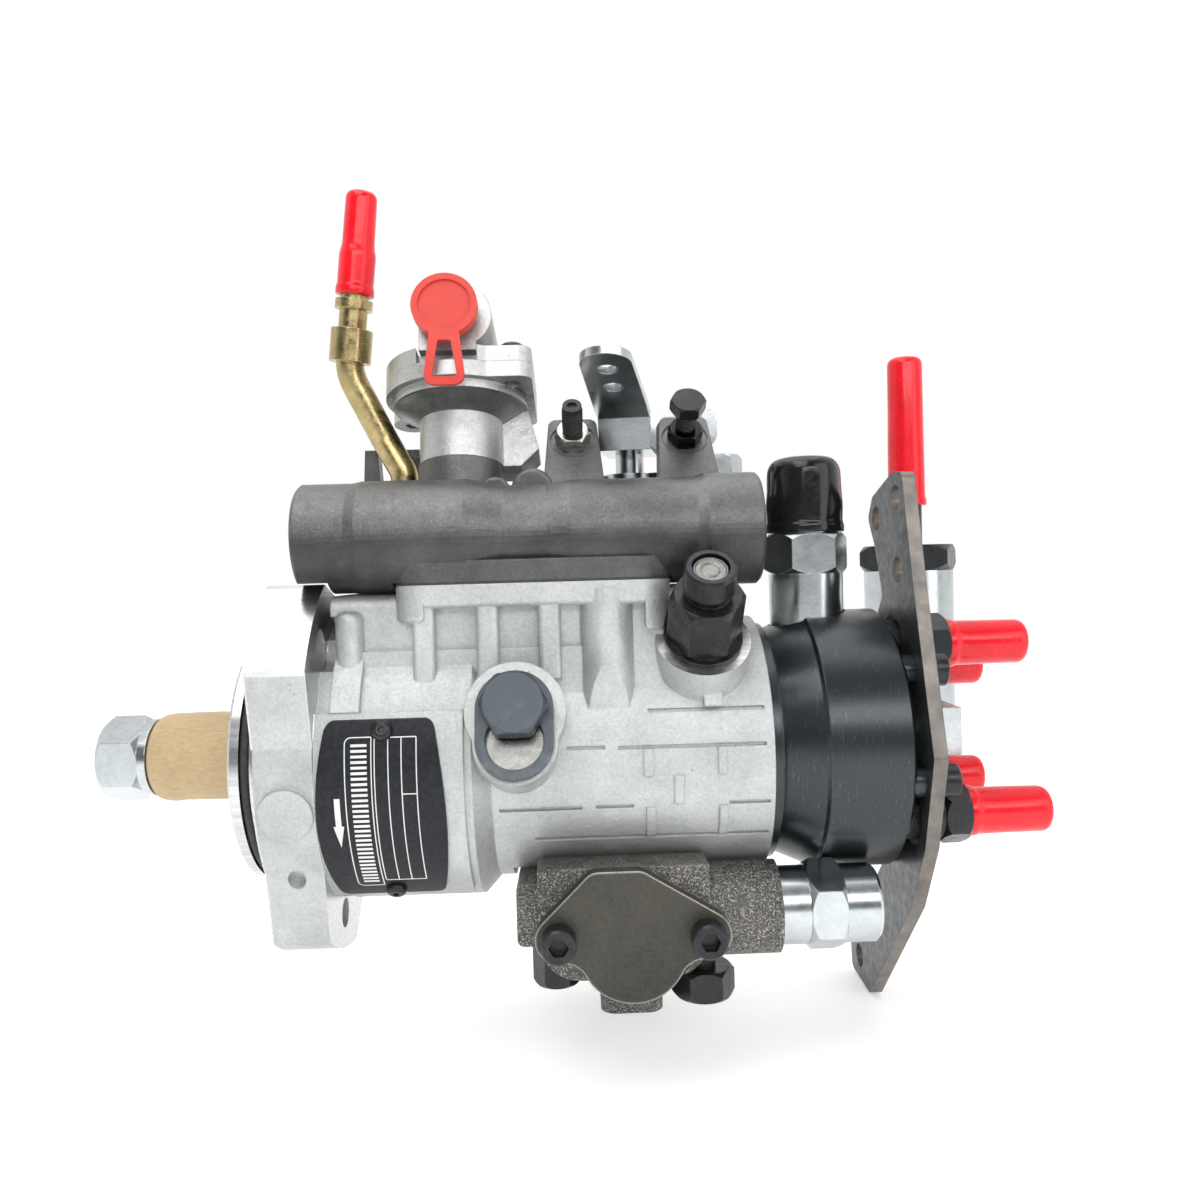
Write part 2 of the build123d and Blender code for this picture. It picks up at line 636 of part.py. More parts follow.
def housing_hollows():
    """Everything that is cut or bored out of the housing."""
    cut = turned((FRONT_WALL_X, CAM_BORE_R), (HEAD_SEAT_X, CAM_BORE_R), (HEAD_SEAT_X, HEAD_SEAT_R),
                 (HOUSING_END_X + 1, HEAD_SEAT_R))
    seal_end = -SPIGOT_LENGTH + SEAL_THICKNESS
    cut += turned((-SPIGOT_LENGTH - 1, SEAL_R), (seal_end, SEAL_R), (seal_end, SHAFT_R + 1),
                  (BUSH_FRONT_X, SHAFT_R + 1), (BUSH_FRONT_X, BUSH_R), (FRONT_WALL_X + 1, BUSH_R))
    groove_width = 2 * O_RING_WIRE_R + 2 * RUN_GAP
    groove = tube(SPIGOT_R + 1, SPIGOT_R - O_RING_BELOW - 2 * O_RING_WIRE_R, groove_width)
    cut += along_x(groove, O_RING_X - groove_width / 2)
    cut += block(TOP_WINDOW_START_X, TOP_WINDOW_END_X, -TOP_WINDOW_HALF_WIDTH, TOP_WINDOW_HALF_WIDTH,
                 0, DECK_Z + 1)
    for angle in FLANGE_HOLE_ANGLES:
        y, z = on_circle(FLANGE_HOLE_PCD / 2, angle)
        cut += along_x(bar(FLANGE_HOLE_R, FLANGE_THICKNESS + 2), -1, y, z)
        cut += along_x(bar(FLANGE_NUT_R, STRUT_X - STRUT_R - FLANGE_THICKNESS), FLANGE_THICKNESS, y, z)
    cut += radial(bar(DIMPLE_R, CAM_BORE_R), DIMPLE_X, DIMPLE_ANGLE, FLANGE_WEB_R - 1)
    cut += block(ADVANCE_BLOCK_START_X - FOOT_MARGIN, ADVANCE_BLOCK_END_X + SADDLE_EDGE, -REAR_BARREL_R,
                 REAR_BARREL_R, -FLANGE_LOBE_R, FOOT_Z)
    cut += Pos(ADVANCE_X, 0, ADVANCE_Z) * bar(STUD_SLOT_R, CAM_BORE_R)
    for x, y in COVER_SCREW_SITES:
        cut += Pos(x, y, DECK_Z - COVER_SCREW_LENGTH) * bar(SCREW_M6_R + SEAT_GAP, 2 * COVER_SCREW_LENGTH)
    cut += radial(bar(LOCK_SHANK_R + BOLT_GAP, LOCK_BOSS_FACE), LOCK_X, LOCK_ANGLE, HUB_R - SAFE_GAP)
    cut += radial(bar(VALVE_SHANK_R + SEAT_GAP, VALVE_BOSS_FACE), VALVE_X, VALVE_ANGLE, HUB_R - SAFE_GAP)
    cut += radial(bar(VALVE_BOSS_R - VALVE_SPOT_EDGE, VALVE_BOSS_FACE), VALVE_X, VALVE_ANGLE, VALVE_BOSS_FACE)
    for x_low, x_high, angle in BARREL_GROOVES:
        cut += barrel_sector(REAR_BARREL_R - GROOVE_DEPTH, REAR_BARREL_R + 1, x_low, x_high,
                             angle + GROOVE_HALF_ANGLE, angle - GROOVE_HALF_ANGLE)
    return cut


def data_plate():
    """The bare data plate: a barrel-sided sheet that follows the casting, and its two screws."""
    inner = FRONT_BARREL_R + PLATE_PAD_PROUD + SEAT_GAP
    outer = inner + PLATE_THICKNESS
    middle_angle = (PLATE_TOP_ANGLE + PLATE_BOTTOM_ANGLE) / 2
    height = 2 * outer * sin(radians(PLATE_TOP_ANGLE - PLATE_BOTTOM_ANGLE) / 2)
    half = PLATE_WIDTH / 2
    middle_x = PLATE_START_X + half
    right = ThreePointArc((half, -height / 2), (half + PLATE_BELLY, 0), (half, height / 2))
    left = ThreePointArc((-half, height / 2), (-half - PLATE_BELLY, 0), (-half, -height / 2))
    face = make_face([right, Line(right @ 1, left @ 0), left, Line(left @ 1, right @ 0)])
    face = fillet(face.vertices(), PLATE_CORNER_R)
    punch = radial(extrude(face, FRONT_BARREL_R), middle_x, middle_angle, HUB_R)
    sheet = along_x(tube(outer, inner, 2 * PLATE_WIDTH), middle_x - PLATE_WIDTH) & punch
    head = fillet(bar(PLATE_SCREW_R, PLATE_SCREW_HEIGHT).edges().sort_by(Axis.Z)[-1:], PLATE_SCREW_HEIGHT * 0.8)
    head -= Pos(0, 0, PLATE_SCREW_HEIGHT / 2) * extrude(RegularPolygon(PLATE_SCREW_R / 3, 6), PLATE_SCREW_HEIGHT)
    screws, holes = [], []
    for angle in (PLATE_TOP_ANGLE - PLATE_SCREW_INSET, PLATE_BOTTOM_ANGLE + PLATE_SCREW_INSET):
        screws.append(radial(head, middle_x + 1, angle, outer + RUN_GAP))
        shank_foot = outer + RUN_GAP - PLATE_SCREW_LENGTH
        screws.append(radial(bar(PLATE_SHANK_R, PLATE_SCREW_LENGTH), middle_x + 1, angle, shank_foot))
        holes.append(radial(bar(PLATE_SHANK_R + RUN_GAP, 2 * PLATE_SCREW_LENGTH), middle_x + 1, angle,
                            shank_foot - RUN_GAP))
    for hole in holes:
        sheet -= hole
    return sheet, screws, holes


# ---------------------------------------------------------------- drive line
def drive_shaft():
    """The stepped drive shaft: thread, taper, journal, governor hub and drive nose."""
    taper_x = -SPIGOT_LENGTH - TAPER_GAP - TAPER_LENGTH
    hub_end = HUB_X + HUB_THICKNESS
    return turned((SHAFT_FRONT_X, THREAD_R - 1), (SHAFT_FRONT_X + 1, THREAD_R), (taper_x, THREAD_R),
                  (taper_x, TAPER_SMALL_R), (taper_x + TAPER_LENGTH, TAPER_BIG_R),
                  (taper_x + TAPER_LENGTH, SHAFT_R), (HUB_X, SHAFT_R), (HUB_X, HUB_R),
                  (hub_end, HUB_R), (hub_end, HUB_NOSE_R), (ROTOR_FRONT_X, HUB_NOSE_R))


def build_drive_end():
    """The shaft, its key, nut and washer, and the transit sleeve over the taper."""
    taper_end = -SPIGOT_LENGTH - TAPER_GAP
    key_x = taper_end - KEY_LENGTH - 3
    key = block(key_x, key_x + KEY_LENGTH, -KEY_WIDTH / 2, KEY_WIDTH / 2, KEY_SEAT_Z, TAPER_BIG_R + KEY_PROUD)
    keyway = block(key_x - SEAT_GAP, key_x + KEY_LENGTH + SEAT_GAP, -KEY_WIDTH / 2 - SEAT_GAP,
                   KEY_WIDTH / 2 + SEAT_GAP, KEY_SEAT_Z, 2 * TAPER_BIG_R)
    keep("drive_shaft", drive_shaft() - keyway)
    keep("shaft_key", key)
    nut_x = SHAFT_FRONT_X + NUT_SETBACK
    nut = hex_bar(NUT_ACROSS_FLATS, NUT_LENGTH) - bar(THREAD_R + SEAT_GAP, NUT_LENGTH)
    washer_x = nut_x + NUT_LENGTH
    washer = tube(WASHER_R, THREAD_R + BOLT_GAP, WASHER_THICKNESS)
    keep("shaft_nut", along_x(nut, nut_x), along_x(washer, washer_x))
    sleeve_x = washer_x + WASHER_THICKNESS
    outer = turned((sleeve_x, SLEEVE_R - 3), (sleeve_x + 1, SLEEVE_R - 1.2), (sleeve_x + 4, SLEEVE_R),
                   (taper_end, SLEEVE_R))
    inner_r = SLEEVE_R - SLEEVE_WALL
    inner = turned((sleeve_x, THREAD_R + BOLT_GAP), (sleeve_x + SLEEVE_WALL, THREAD_R + BOLT_GAP),
                   (sleeve_x + SLEEVE_WALL, inner_r - 2), (sleeve_x + 5, inner_r), (taper_end, inner_r))
    keep("transit_sleeve", outer - inner)


def build_seals():
    """The shaft seal, the long front bush and the O-rings of the pilot and the head."""
    seal = tube(SEAL_R - SEAT_GAP, SHAFT_R + RUN_GAP, SEAL_THICKNESS)
    seal -= Pos(0, 0, -1) * tube(SEAL_R - SEAL_LIP, SHAFT_R + SEAL_LIP, SEAL_THICKNESS / 2 + 1)
    keep("shaft_seal", along_x(seal, -SPIGOT_LENGTH))
    bush = tube(BUSH_R - SEAT_GAP, SHAFT_R + RUN_GAP, BUSH_BACK_X - BUSH_FRONT_X)
    keep("front_bush", along_x(bush, BUSH_FRONT_X))
    ring = Torus(SPIGOT_R - O_RING_WIRE_R - O_RING_BELOW, O_RING_WIRE_R)
    head_ring = Torus(HEAD_SEAT_R - HEAD_RING_DEPTH / 2, HEAD_RING_WIRE_R)
    keep("o_rings", along_x(ring, O_RING_X), along_x(head_ring, HEAD_RING_X + HEAD_RING_WIDTH / 2))


def build_governor():
    """The flyweight cage and weights, and the thrust sleeve that slides on the shaft in front."""
    end, start = HUB_X, HUB_X - CAGE_DEPTH
    cage = turned((start, CAGE_R), (end, CAGE_R))
    cage -= turned((start, CAGE_R - CAGE_WALL), (end - CAGE_FLOOR, CAGE_R - CAGE_WALL))
    cage -= turned((start, SHAFT_R + SEAT_GAP), (end, SHAFT_R + SEAT_GAP))
    weight_end = end - CAGE_FLOOR
    weight = block(weight_end - WEIGHT_LENGTH, weight_end, -WEIGHT_HALF_WIDTH, WEIGHT_HALF_WIDTH,
                   WEIGHT_INNER_R, WEIGHT_OUTER_R)
    weight = fillet(weight.edges().filter_by(Axis.X), 0.8)
    weight += block(start, weight_end - WEIGHT_LENGTH + 1, -TOE_HALF_WIDTH, TOE_HALF_WIDTH, TOE_INNER_R,
                    TOE_OUTER_R)
    window = block(start + CAGE_WINDOW_INSET, end - CAGE_WINDOW_INSET, -CAGE_WINDOW_HALF_WIDTH,
                   CAGE_WINDOW_HALF_WIDTH, WEIGHT_OUTER_R, 2 * CAGE_R)
    weights = []
    for quarter in range(0, 360, 90):
        cage -= Rot(45 + quarter, 0, 0) * window
        weights.append(Rot(quarter, 0, 0) * weight)
    keep("governor_cage", cage)
    keep("governor_weights", *weights)
    rim = start - GOVERNOR_STROKE - SAFE_GAP
    sleeve = turned((rim - SLEEVE_LENGTH, SLEEVE_BODY_R), (rim - SLEEVE_RIM, SLEEVE_BODY_R),
                    (rim - SLEEVE_RIM, SLEEVE_RIM_R), (rim, SLEEVE_RIM_R))
    sleeve -= turned((rim - SLEEVE_LENGTH, SHAFT_R + RUN_GAP), (rim, SHAFT_R + RUN_GAP))
    keep("thrust_sleeve", sleeve)


def cam_profile():
    """The cam ring's bore: a circle with evenly spaced humps that push the rollers in."""
    steps = CAM_LOBES * CAM_STEPS_PER_LOBE
    points = []
    for step in range(steps):
        angle = 2 * pi * step / steps
        reach = CAM_BASE_R - CAM_LIFT * (0.5 - 0.5 * cos(CAM_LOBES * angle)) ** 2
        points.append((reach * cos(angle), reach * sin(angle)))
    return make_face(Spline(*points, periodic=True))


def build_cam():
    """The cam ring, its stud, and the rollers, shoes and plungers that turn inside it."""
    ring = along_x(extrude(Circle(CAM_BORE_R - RUN_GAP) - cam_profile(), CAM_RING_LENGTH), CAM_RING_X)
    thread_top = -CAM_BORE_R + STUD_THREAD_R
    neck_z = -CAM_BORE_R - 1
    keep("cam_ring", ring - Pos(ADVANCE_X, 0, neck_z) * bar(STUD_THREAD_R + SEAT_GAP, thread_top - neck_z))
    stud = Pos(ADVANCE_X, 0, neck_z) * bar(STUD_THREAD_R, thread_top - neck_z)
    stud += Pos(ADVANCE_X, 0, ADVANCE_Z) * bar(ADVANCE_STUD_R - 1, neck_z - ADVANCE_Z)
    stud += Pos(ADVANCE_X, 0, ADVANCE_Z) * Sphere(ADVANCE_STUD_R)
    keep("cam_advance_stud", stud)
    track_r = CAM_BASE_R - CAM_LIFT - ROLLER_R - SAFE_GAP
    roller = along_x(bar(ROLLER_R, CAM_RING_LENGTH - 2 * ROLLER_INSET), CAM_RING_X + ROLLER_INSET, 0, track_r)
    shoe = block(CAM_RING_X + SHOE_INSET, CAM_RING_X + CAM_RING_LENGTH - SHOE_INSET, -SHOE_HALF_WIDTH,
                 SHOE_HALF_WIDTH, ROTOR_NOSE_R + 1, track_r)
    shoe -= along_x(bar(ROLLER_R + RUN_GAP, CAM_RING_LENGTH), CAM_RING_X, 0, track_r)
    foot_z = PLUNGER_R + PLUNGER_MEETING
    plunger = Pos(ADVANCE_X, 0, foot_z) * bar(PLUNGER_R, ROTOR_NOSE_R + 1 - foot_z)
    bore = Pos(ADVANCE_X, 0, 0) * bar(PLUNGER_R + RUN_GAP, ROTOR_NOSE_R + 1)
    quarters = [Rot(angle, 0, 0) for angle in range(0, 360, 90)]
    keep("cam_rollers", *[quarter * roller for quarter in quarters])
    keep("roller_shoes", *[quarter * shoe for quarter in quarters])
    keep("pumping_plungers", *[quarter * plunger for quarter in quarters])
    plate_end, nose_end = ROTOR_FRONT_X + ROTOR_PLATE, HEAD_SEAT_X - ROTOR_PLATE - 1
    rotor = turned((ROTOR_FRONT_X, ROTOR_PLATE_R), (plate_end, ROTOR_PLATE_R), (plate_end, ROTOR_NOSE_R),
                   (nose_end, ROTOR_NOSE_R), (nose_end, ROTOR_R), (ROTOR_END_X, ROTOR_R))
    for quarter in quarters:
        rotor -= quarter * bore
    keep("distributor_rotor", rotor)


# ---------------------------------------------------------------- hydraulic head
def head_profile():
    """The head as turned: its spigot in the housing, the waisted neck and the full-size drum."""
    waist = HOUSING_END_X + (HEAD_FRONT_X - HOUSING_END_X) * HEAD_WAIST_SHARE
    collar_end = HOUSING_END_X + HEAD_COLLAR
    return turned((HEAD_SEAT_X, HEAD_SEAT_R - SEAT_GAP), (HOUSING_END_X, HEAD_SEAT_R - SEAT_GAP),
                  (HOUSING_END_X, HEAD_NECK_R), (collar_end, HEAD_NECK_R),
                  (collar_end + 0.5, HEAD_NECK_R - HEAD_WAIST_DEPTH), (waist, HEAD_NECK_R - HEAD_WAIST_DEPTH / 2),
                  (HEAD_FRONT_X - 1, HEAD_R - 1), (HEAD_FRONT_X, HEAD_R), (HEAD_END_X - 1, HEAD_R),
                  (HEAD_END_X, HEAD_R - 1))


def build_head():
    """The hydraulic head with its sleeve, transfer pump, outlet unions and their caps."""
    head = head_profile()
    for y, z in BRACKET_SCREW_SITES:
        head += along_x(bar(BRACKET_SPACER_R, BRACKET_X - HEAD_END_X + 1), HEAD_END_X - 1, y, z)
        head -= along_x(bar(SCREW_M6_R + SEAT_GAP, BRACKET_SCREW_LENGTH), BRACKET_X - BRACKET_SCREW_LENGTH, y, z)
    head -= turned((HEAD_SEAT_X, HEAD_SLEEVE_R), (PUMP_FRONT_X, HEAD_SLEEVE_R),
                   (PUMP_FRONT_X, PUMP_BORE_R), (HEAD_END_X, PUMP_BORE_R))
    head -= along_x(tube(HEAD_SEAT_R + 1, HEAD_SEAT_R - HEAD_RING_DEPTH, HEAD_RING_WIDTH), HEAD_RING_X)
    head -= Pos(SOLENOID_X, 0, SOLENOID_SEAT_Z) * bar(SOLENOID_R + 2 * BOLT_GAP, HEAD_R)
    head -= Pos(SOLENOID_X, 0, HEAD_SLEEVE_R + 1) * bar(SOLENOID_THREAD_R + SEAT_GAP, HEAD_R)
    hex_z = OUTLET_DEPTH + OUTLET_BASE_LENGTH
    union = bar(OUTLET_STEM_R, hex_z + OUTLET_STEM_LENGTH)
    union += Pos(0, 0, OUTLET_DEPTH) * bar(OUTLET_BASE_R, OUTLET_BASE_LENGTH)
    union += Pos(0, 0, hex_z) * hex_bar(OUTLET_FLATS, OUTLET_HEX_LENGTH)
    union -= bar(OUTLET_STEM_R / 4, hex_z + OUTLET_STEM_LENGTH)
    cap = bar(OUTLET_STEM_R + CAP_WALL + SEAT_GAP, CAP_LENGTH)
    cap = fillet(cap.edges().sort_by(Axis.Z)[-1:], 2 * CAP_WALL)
    cap -= bar(OUTLET_STEM_R + SEAT_GAP, CAP_LENGTH - CAP_WALL)
    union_x = HEAD_END_X - OUTLET_DEPTH
    cap_x = HEAD_END_X + OUTLET_BASE_LENGTH + OUTLET_HEX_LENGTH + SEAT_GAP
    unions, caps = [], []
    for angle in OUTLET_ANGLES:
        y, z = on_circle(OUTLET_R, angle)
        head -= along_x(bar(OUTLET_STEM_R + SEAT_GAP, OUTLET_DEPTH), union_x, y, z)
        unions.append(along_x(union, union_x, y, z))
        caps.append(along_x(cap, cap_x, y, z))
    keep("hydraulic_head", head)
    keep("outlet_unions", *unions)
    keep("outlet_caps", *caps)
    sleeve = tube(HEAD_SLEEVE_R - SEAT_GAP, ROTOR_R + RUN_GAP, PUMP_FRONT_X - HEAD_SEAT_X)
    keep("head_sleeve", along_x(sleeve, HEAD_SEAT_X))
    liner_r = PUMP_BORE_R - SEAT_GAP
    liner = along_x(tube(liner_r, liner_r - PUMP_LINER_WALL, HEAD_END_X - PUMP_FRONT_X), PUMP_FRONT_X)
    keep("transfer_pump_liner", liner)
    blade = block(PUMP_FRONT_X + 0.5, ROTOR_END_X, -BLADE_THICKNESS / 2, BLADE_THICKNESS / 2,
                  ROTOR_R + SEAT_GAP, liner_r - PUMP_LINER_WALL - 2 * RUN_GAP)
    keep("transfer_pump_blades", blade, Rot(180, 0, 0) * blade)


def build_inlet():
    """The end plate with its inlet tower, the union nut with its stem and the long transit cap."""
    plate = along_x(bar(END_PLATE_R, END_PLATE_THICKNESS), HEAD_END_X)
    arm = block(BRACKET_X + 1, TOWER_X, 0, TOWER_Y, -INLET_ARM_HALF_HEIGHT, INLET_ARM_HALF_HEIGHT)
    plate += arm
    tower = chamfer(bar(TOWER_R, INLET_TOP_Z - INLET_BOTTOM_Z).edges().sort_by(Axis.Z)[:1], 2)
    plate += Pos(TOWER_X, TOWER_Y, INLET_BOTTOM_Z) * tower
    plate -= Pos(TOWER_X, TOWER_Y, INLET_TOP_Z - INLET_SOCKET) * bar(INLET_STEM_R + SEAT_GAP, INLET_TOP_Z)
    keep("end_plate", plate)
    stem_bottom = INLET_TOP_Z - INLET_SOCKET + 2
    union = Pos(0, 0, INLET_TOP_Z) * hex_bar(INLET_NUT_FLATS, INLET_NUT_HEIGHT)
    union += Pos(0, 0, stem_bottom) * bar(INLET_STEM_R, INLET_STEM_TOP_Z - stem_bottom)
    union -= Pos(0, 0, stem_bottom) * bar(INLET_STEM_R / 2, INLET_STEM_TOP_Z)
    keep("inlet_union", Pos(TOWER_X, TOWER_Y, 0) * union)
    cap_z = INLET_CAP_TOP_Z - INLET_CAP_LENGTH
    outer = bar(INLET_STEM_R + CAP_WALL, INLET_CAP_LENGTH)
    outer = fillet(outer.edges().sort_by(Axis.Z)[-1:], 3 * CAP_WALL)
    bore = bar(INLET_STEM_R + SEAT_GAP, INLET_STEM_TOP_Z + CAP_WALL - cap_z)
    keep("inlet_cap", Pos(TOWER_X, TOWER_Y, cap_z) * (outer - bore))


def build_bracket():
    """The steel rear support bracket and its socket screws."""
    outline = Polygon(*BRACKET_OUTLINE, align=None)
    plate = fillet(outline.vertices(), BRACKET_CORNER_R) - Circle(END_PLATE_R + 2)
    for y, z in BRACKET_HOLES:
        plate -= Pos(y, z) * Circle(BRACKET_HOLE_R)
    for angle in OUTLET_ANGLES:
        plate -= Pos(*on_circle(OUTLET_R, angle)) * Circle(OUTLET_FLATS / 2 + 1)
    screws = []
    for y, z in BRACKET_SCREW_SITES:
        plate -= Pos(y, z) * Circle(SCREW_M6_R + BOLT_GAP)
        screws.append(along_x(m6_screw(BRACKET_SCREW_LENGTH), BRACKET_X + BRACKET_THICKNESS, y, z))
    keep("rear_bracket", across_x(plate, BRACKET_X, BRACKET_THICKNESS))
    keep("bracket_screws", *screws)


def build_solenoid():
    """The stop solenoid on top of the head, its plunger and its black transit cap."""
    foot = SOLENOID_SEAT_Z - SOLENOID_THREAD
    body = Pos(0, 0, foot) * bar(SOLENOID_THREAD_R, SOLENOID_THREAD)
    body += Pos(0, 0, SOLENOID_SEAT_Z) * bar(SOLENOID_R, SOLENOID_HEX_Z - SOLENOID_SEAT_Z)
    body += Pos(0, 0, SOLENOID_HEX_Z) * hex_bar(SOLENOID_FLATS, SOLENOID_HEX_HEIGHT)
    stem_r = SOLENOID_R - CAP_WALL
    body += Pos(0, 0, SOLENOID_HEX_Z) * bar(stem_r, SOLENOID_TOP_Z - SOLENOID_HEX_Z)
    body -= Pos(0, 0, foot) * bar(SOLENOID_PLUNGER_R + RUN_GAP, SOLENOID_PLUNGER_LENGTH)
    keep("stop_solenoid", Pos(SOLENOID_X, 0, 0) * body)
    plunger_z = foot - SOLENOID_PLUNGER_OUT
    keep("solenoid_plunger", Pos(SOLENOID_X, 0, plunger_z) * bar(SOLENOID_PLUNGER_R, SOLENOID_PLUNGER_LENGTH))
    height = SOLENOID_CAP_TOP_Z - SOLENOID_CAP_BOTTOM_Z
    cap = fillet(bar(SOLENOID_R, height).edges().sort_by(Axis.Z)[-1:], 3 * CAP_WALL)
    cap += bar(SOLENOID_R + 0.5, SOLENOID_CAP_RIM) + Pos(0, 0, height) * bar(CAP_WALL, 1)
    cap -= bar(stem_r + SEAT_GAP, SOLENOID_TOP_Z - SOLENOID_CAP_BOTTOM_Z + RUN_GAP)
    keep("solenoid_cap", Pos(SOLENOID_X, 0, SOLENOID_CAP_BOTTOM_Z) * cap)


# ---------------------------------------------------------------- near flank fittings
def build_flank():
    """The shaft locking screw and its keyhole spacer, and the latch valve with its washer."""
    hole_r = LOCK_SHANK_R + BOLT_GAP
    plate = extrude(lock_outline(LOCK_PLATE_R), LOCK_PLATE_THICKNESS)
    plate -= Pos(0, -LOCK_PLATE_DROP, 0) * bar(LOCK_PLATE_EYE_R, LOCK_PLATE_THICKNESS)
    plate -= block(-hole_r, hole_r, -LOCK_PLATE_DROP, 0, 0, LOCK_PLATE_THICKNESS)
    plate -= bar(hole_r, LOCK_PLATE_THICKNESS)
    keep("lock_spacer", radial(plate, LOCK_X, LOCK_ANGLE, LOCK_BOSS_FACE))
    disc = bar(LOCK_HEAD_FLATS / 2 + 1, LOCK_HEAD_HEIGHT).edges().sort_by(Axis.Z)[-1:]
    head = hex_bar(LOCK_HEAD_FLATS, LOCK_HEAD_HEIGHT) & chamfer(disc, LOCK_HEAD_BEVEL)
    screw = head + Pos(0, 0, -LOCK_SHANK_LENGTH) * bar(LOCK_SHANK_R, LOCK_SHANK_LENGTH)
    keep("shaft_lock_screw", radial(screw, LOCK_X, LOCK_ANGLE, LOCK_BOSS_FACE + LOCK_PLATE_THICKNESS + RUN_GAP))
    washer = tube(VALVE_BOSS_R - VALVE_SPOT_EDGE - BOLT_GAP, VALVE_SHANK_R + SEAT_GAP, VALVE_WASHER)
    valve = hex_bar(VALVE_FLATS, VALVE_HEX_LENGTH) + bar(VALVE_NECK_R - 1.2, VALVE_LENGTH - 1)
    crown = chamfer(bar(VALVE_NECK_R, VALVE_CROWN).edges().sort_by(Axis.Z)[-1:], 0.8)
    valve += Pos(0, 0, VALVE_LENGTH - VALVE_CROWN) * crown
    valve -= Pos(0, 0, VALVE_LENGTH - VALVE_CUP_DEPTH) * bar(VALVE_CUP_R, VALVE_CUP_DEPTH)
    valve += Pos(0, 0, -VALVE_SHANK_LENGTH) * bar(VALVE_SHANK_R, VALVE_SHANK_LENGTH)
    keep("latch_valve", radial(valve, VALVE_X, VALVE_ANGLE, VALVE_BOSS_FACE + VALVE_WASHER),
         radial(washer, VALVE_X, VALVE_ANGLE, VALVE_BOSS_FACE))


# ---------------------------------------------------------------- governor cover and throttle
def ear(centre_x):
    """One leaning ear of the cover: tapered from foot to tip, with rounded tip corners."""
    lean = tan(radians(STOP_SCREW_TILT))
    foot_z = COVER_TOP_Z - 2
    depth = EAR_THICKNESS / cos(radians(STOP_SCREW_TILT))
    low, high = EAR_FOOT_Y, EAR_FOOT_Y + lean * (EAR_TOP_Z - foot_z)
    side = Polygon((low, foot_z), (high, EAR_TOP_Z), (high + depth, EAR_TOP_Z), (low + depth, foot_z),
                   align=None)
    slab = across_x(side, centre_x - EAR_FOOT_WIDTH, 2 * EAR_FOOT_WIDTH)
    face = Polygon((-EAR_FOOT_WIDTH / 2, foot_z), (EAR_FOOT_WIDTH / 2, foot_z),
                   (EAR_TIP_WIDTH / 2, EAR_TOP_Z), (-EAR_TIP_WIDTH / 2, EAR_TOP_Z), align=None)
    face = fillet(face.vertices().group_by(Axis.Y)[-1], EAR_TIP_WIDTH / 6)
    front = extrude(Plane.XZ * face, COVER_BACK_Y, both=True)
    return slab & Pos(centre_x, 0, 0) * front


def stop_screw_place(centre_x, out):
    """The frame on a stop screw's axis, a distance out from the ear's front face."""
    rise = tan(radians(STOP_SCREW_TILT)) * (STOP_SCREW_Z - COVER_TOP_Z + 2)
    return Pos(centre_x, EAR_FOOT_Y + rise, STOP_SCREW_Z) * Rot(90 - STOP_SCREW_TILT, 0, 0) * Pos(0, 0, out)


def cover_bulge():
    """The long near-side bulge: turned, with a waist between its two thicker ends."""
    length = COVER_END_X - COVER_START_X
    stations = [(length * share, BULGE_R * swell) for share, swell in BULGE_STATIONS]
    return Pos(COVER_START_X, BULGE_Y, BULGE_Z) * turned(*stations)


def cover_clearance():
    """The room that the cover leaves for the flange, the tower and the deck under it."""
    low_z = TOWER_TOP_Z + BOLT_GAP
    reach = 2 * DECK_HALF_WIDTH
    room = block(0, TOWER_START_X - BOLT_GAP, -reach, reach, 0, FLANGE_TOP_Z + SAFE_GAP)
    room += block(0, DECK_START_X - BOLT_GAP, -reach, reach, 0, low_z)
    room += block(DECK_START_X - BOLT_GAP, DECK_END_X + BOLT_GAP, -reach, reach, 0, DECK_Z + COVER_GASKET)
    return room + block(DECK_END_X, HOUSING_END_X + BULGE_R, -reach, reach, 0, low_z)


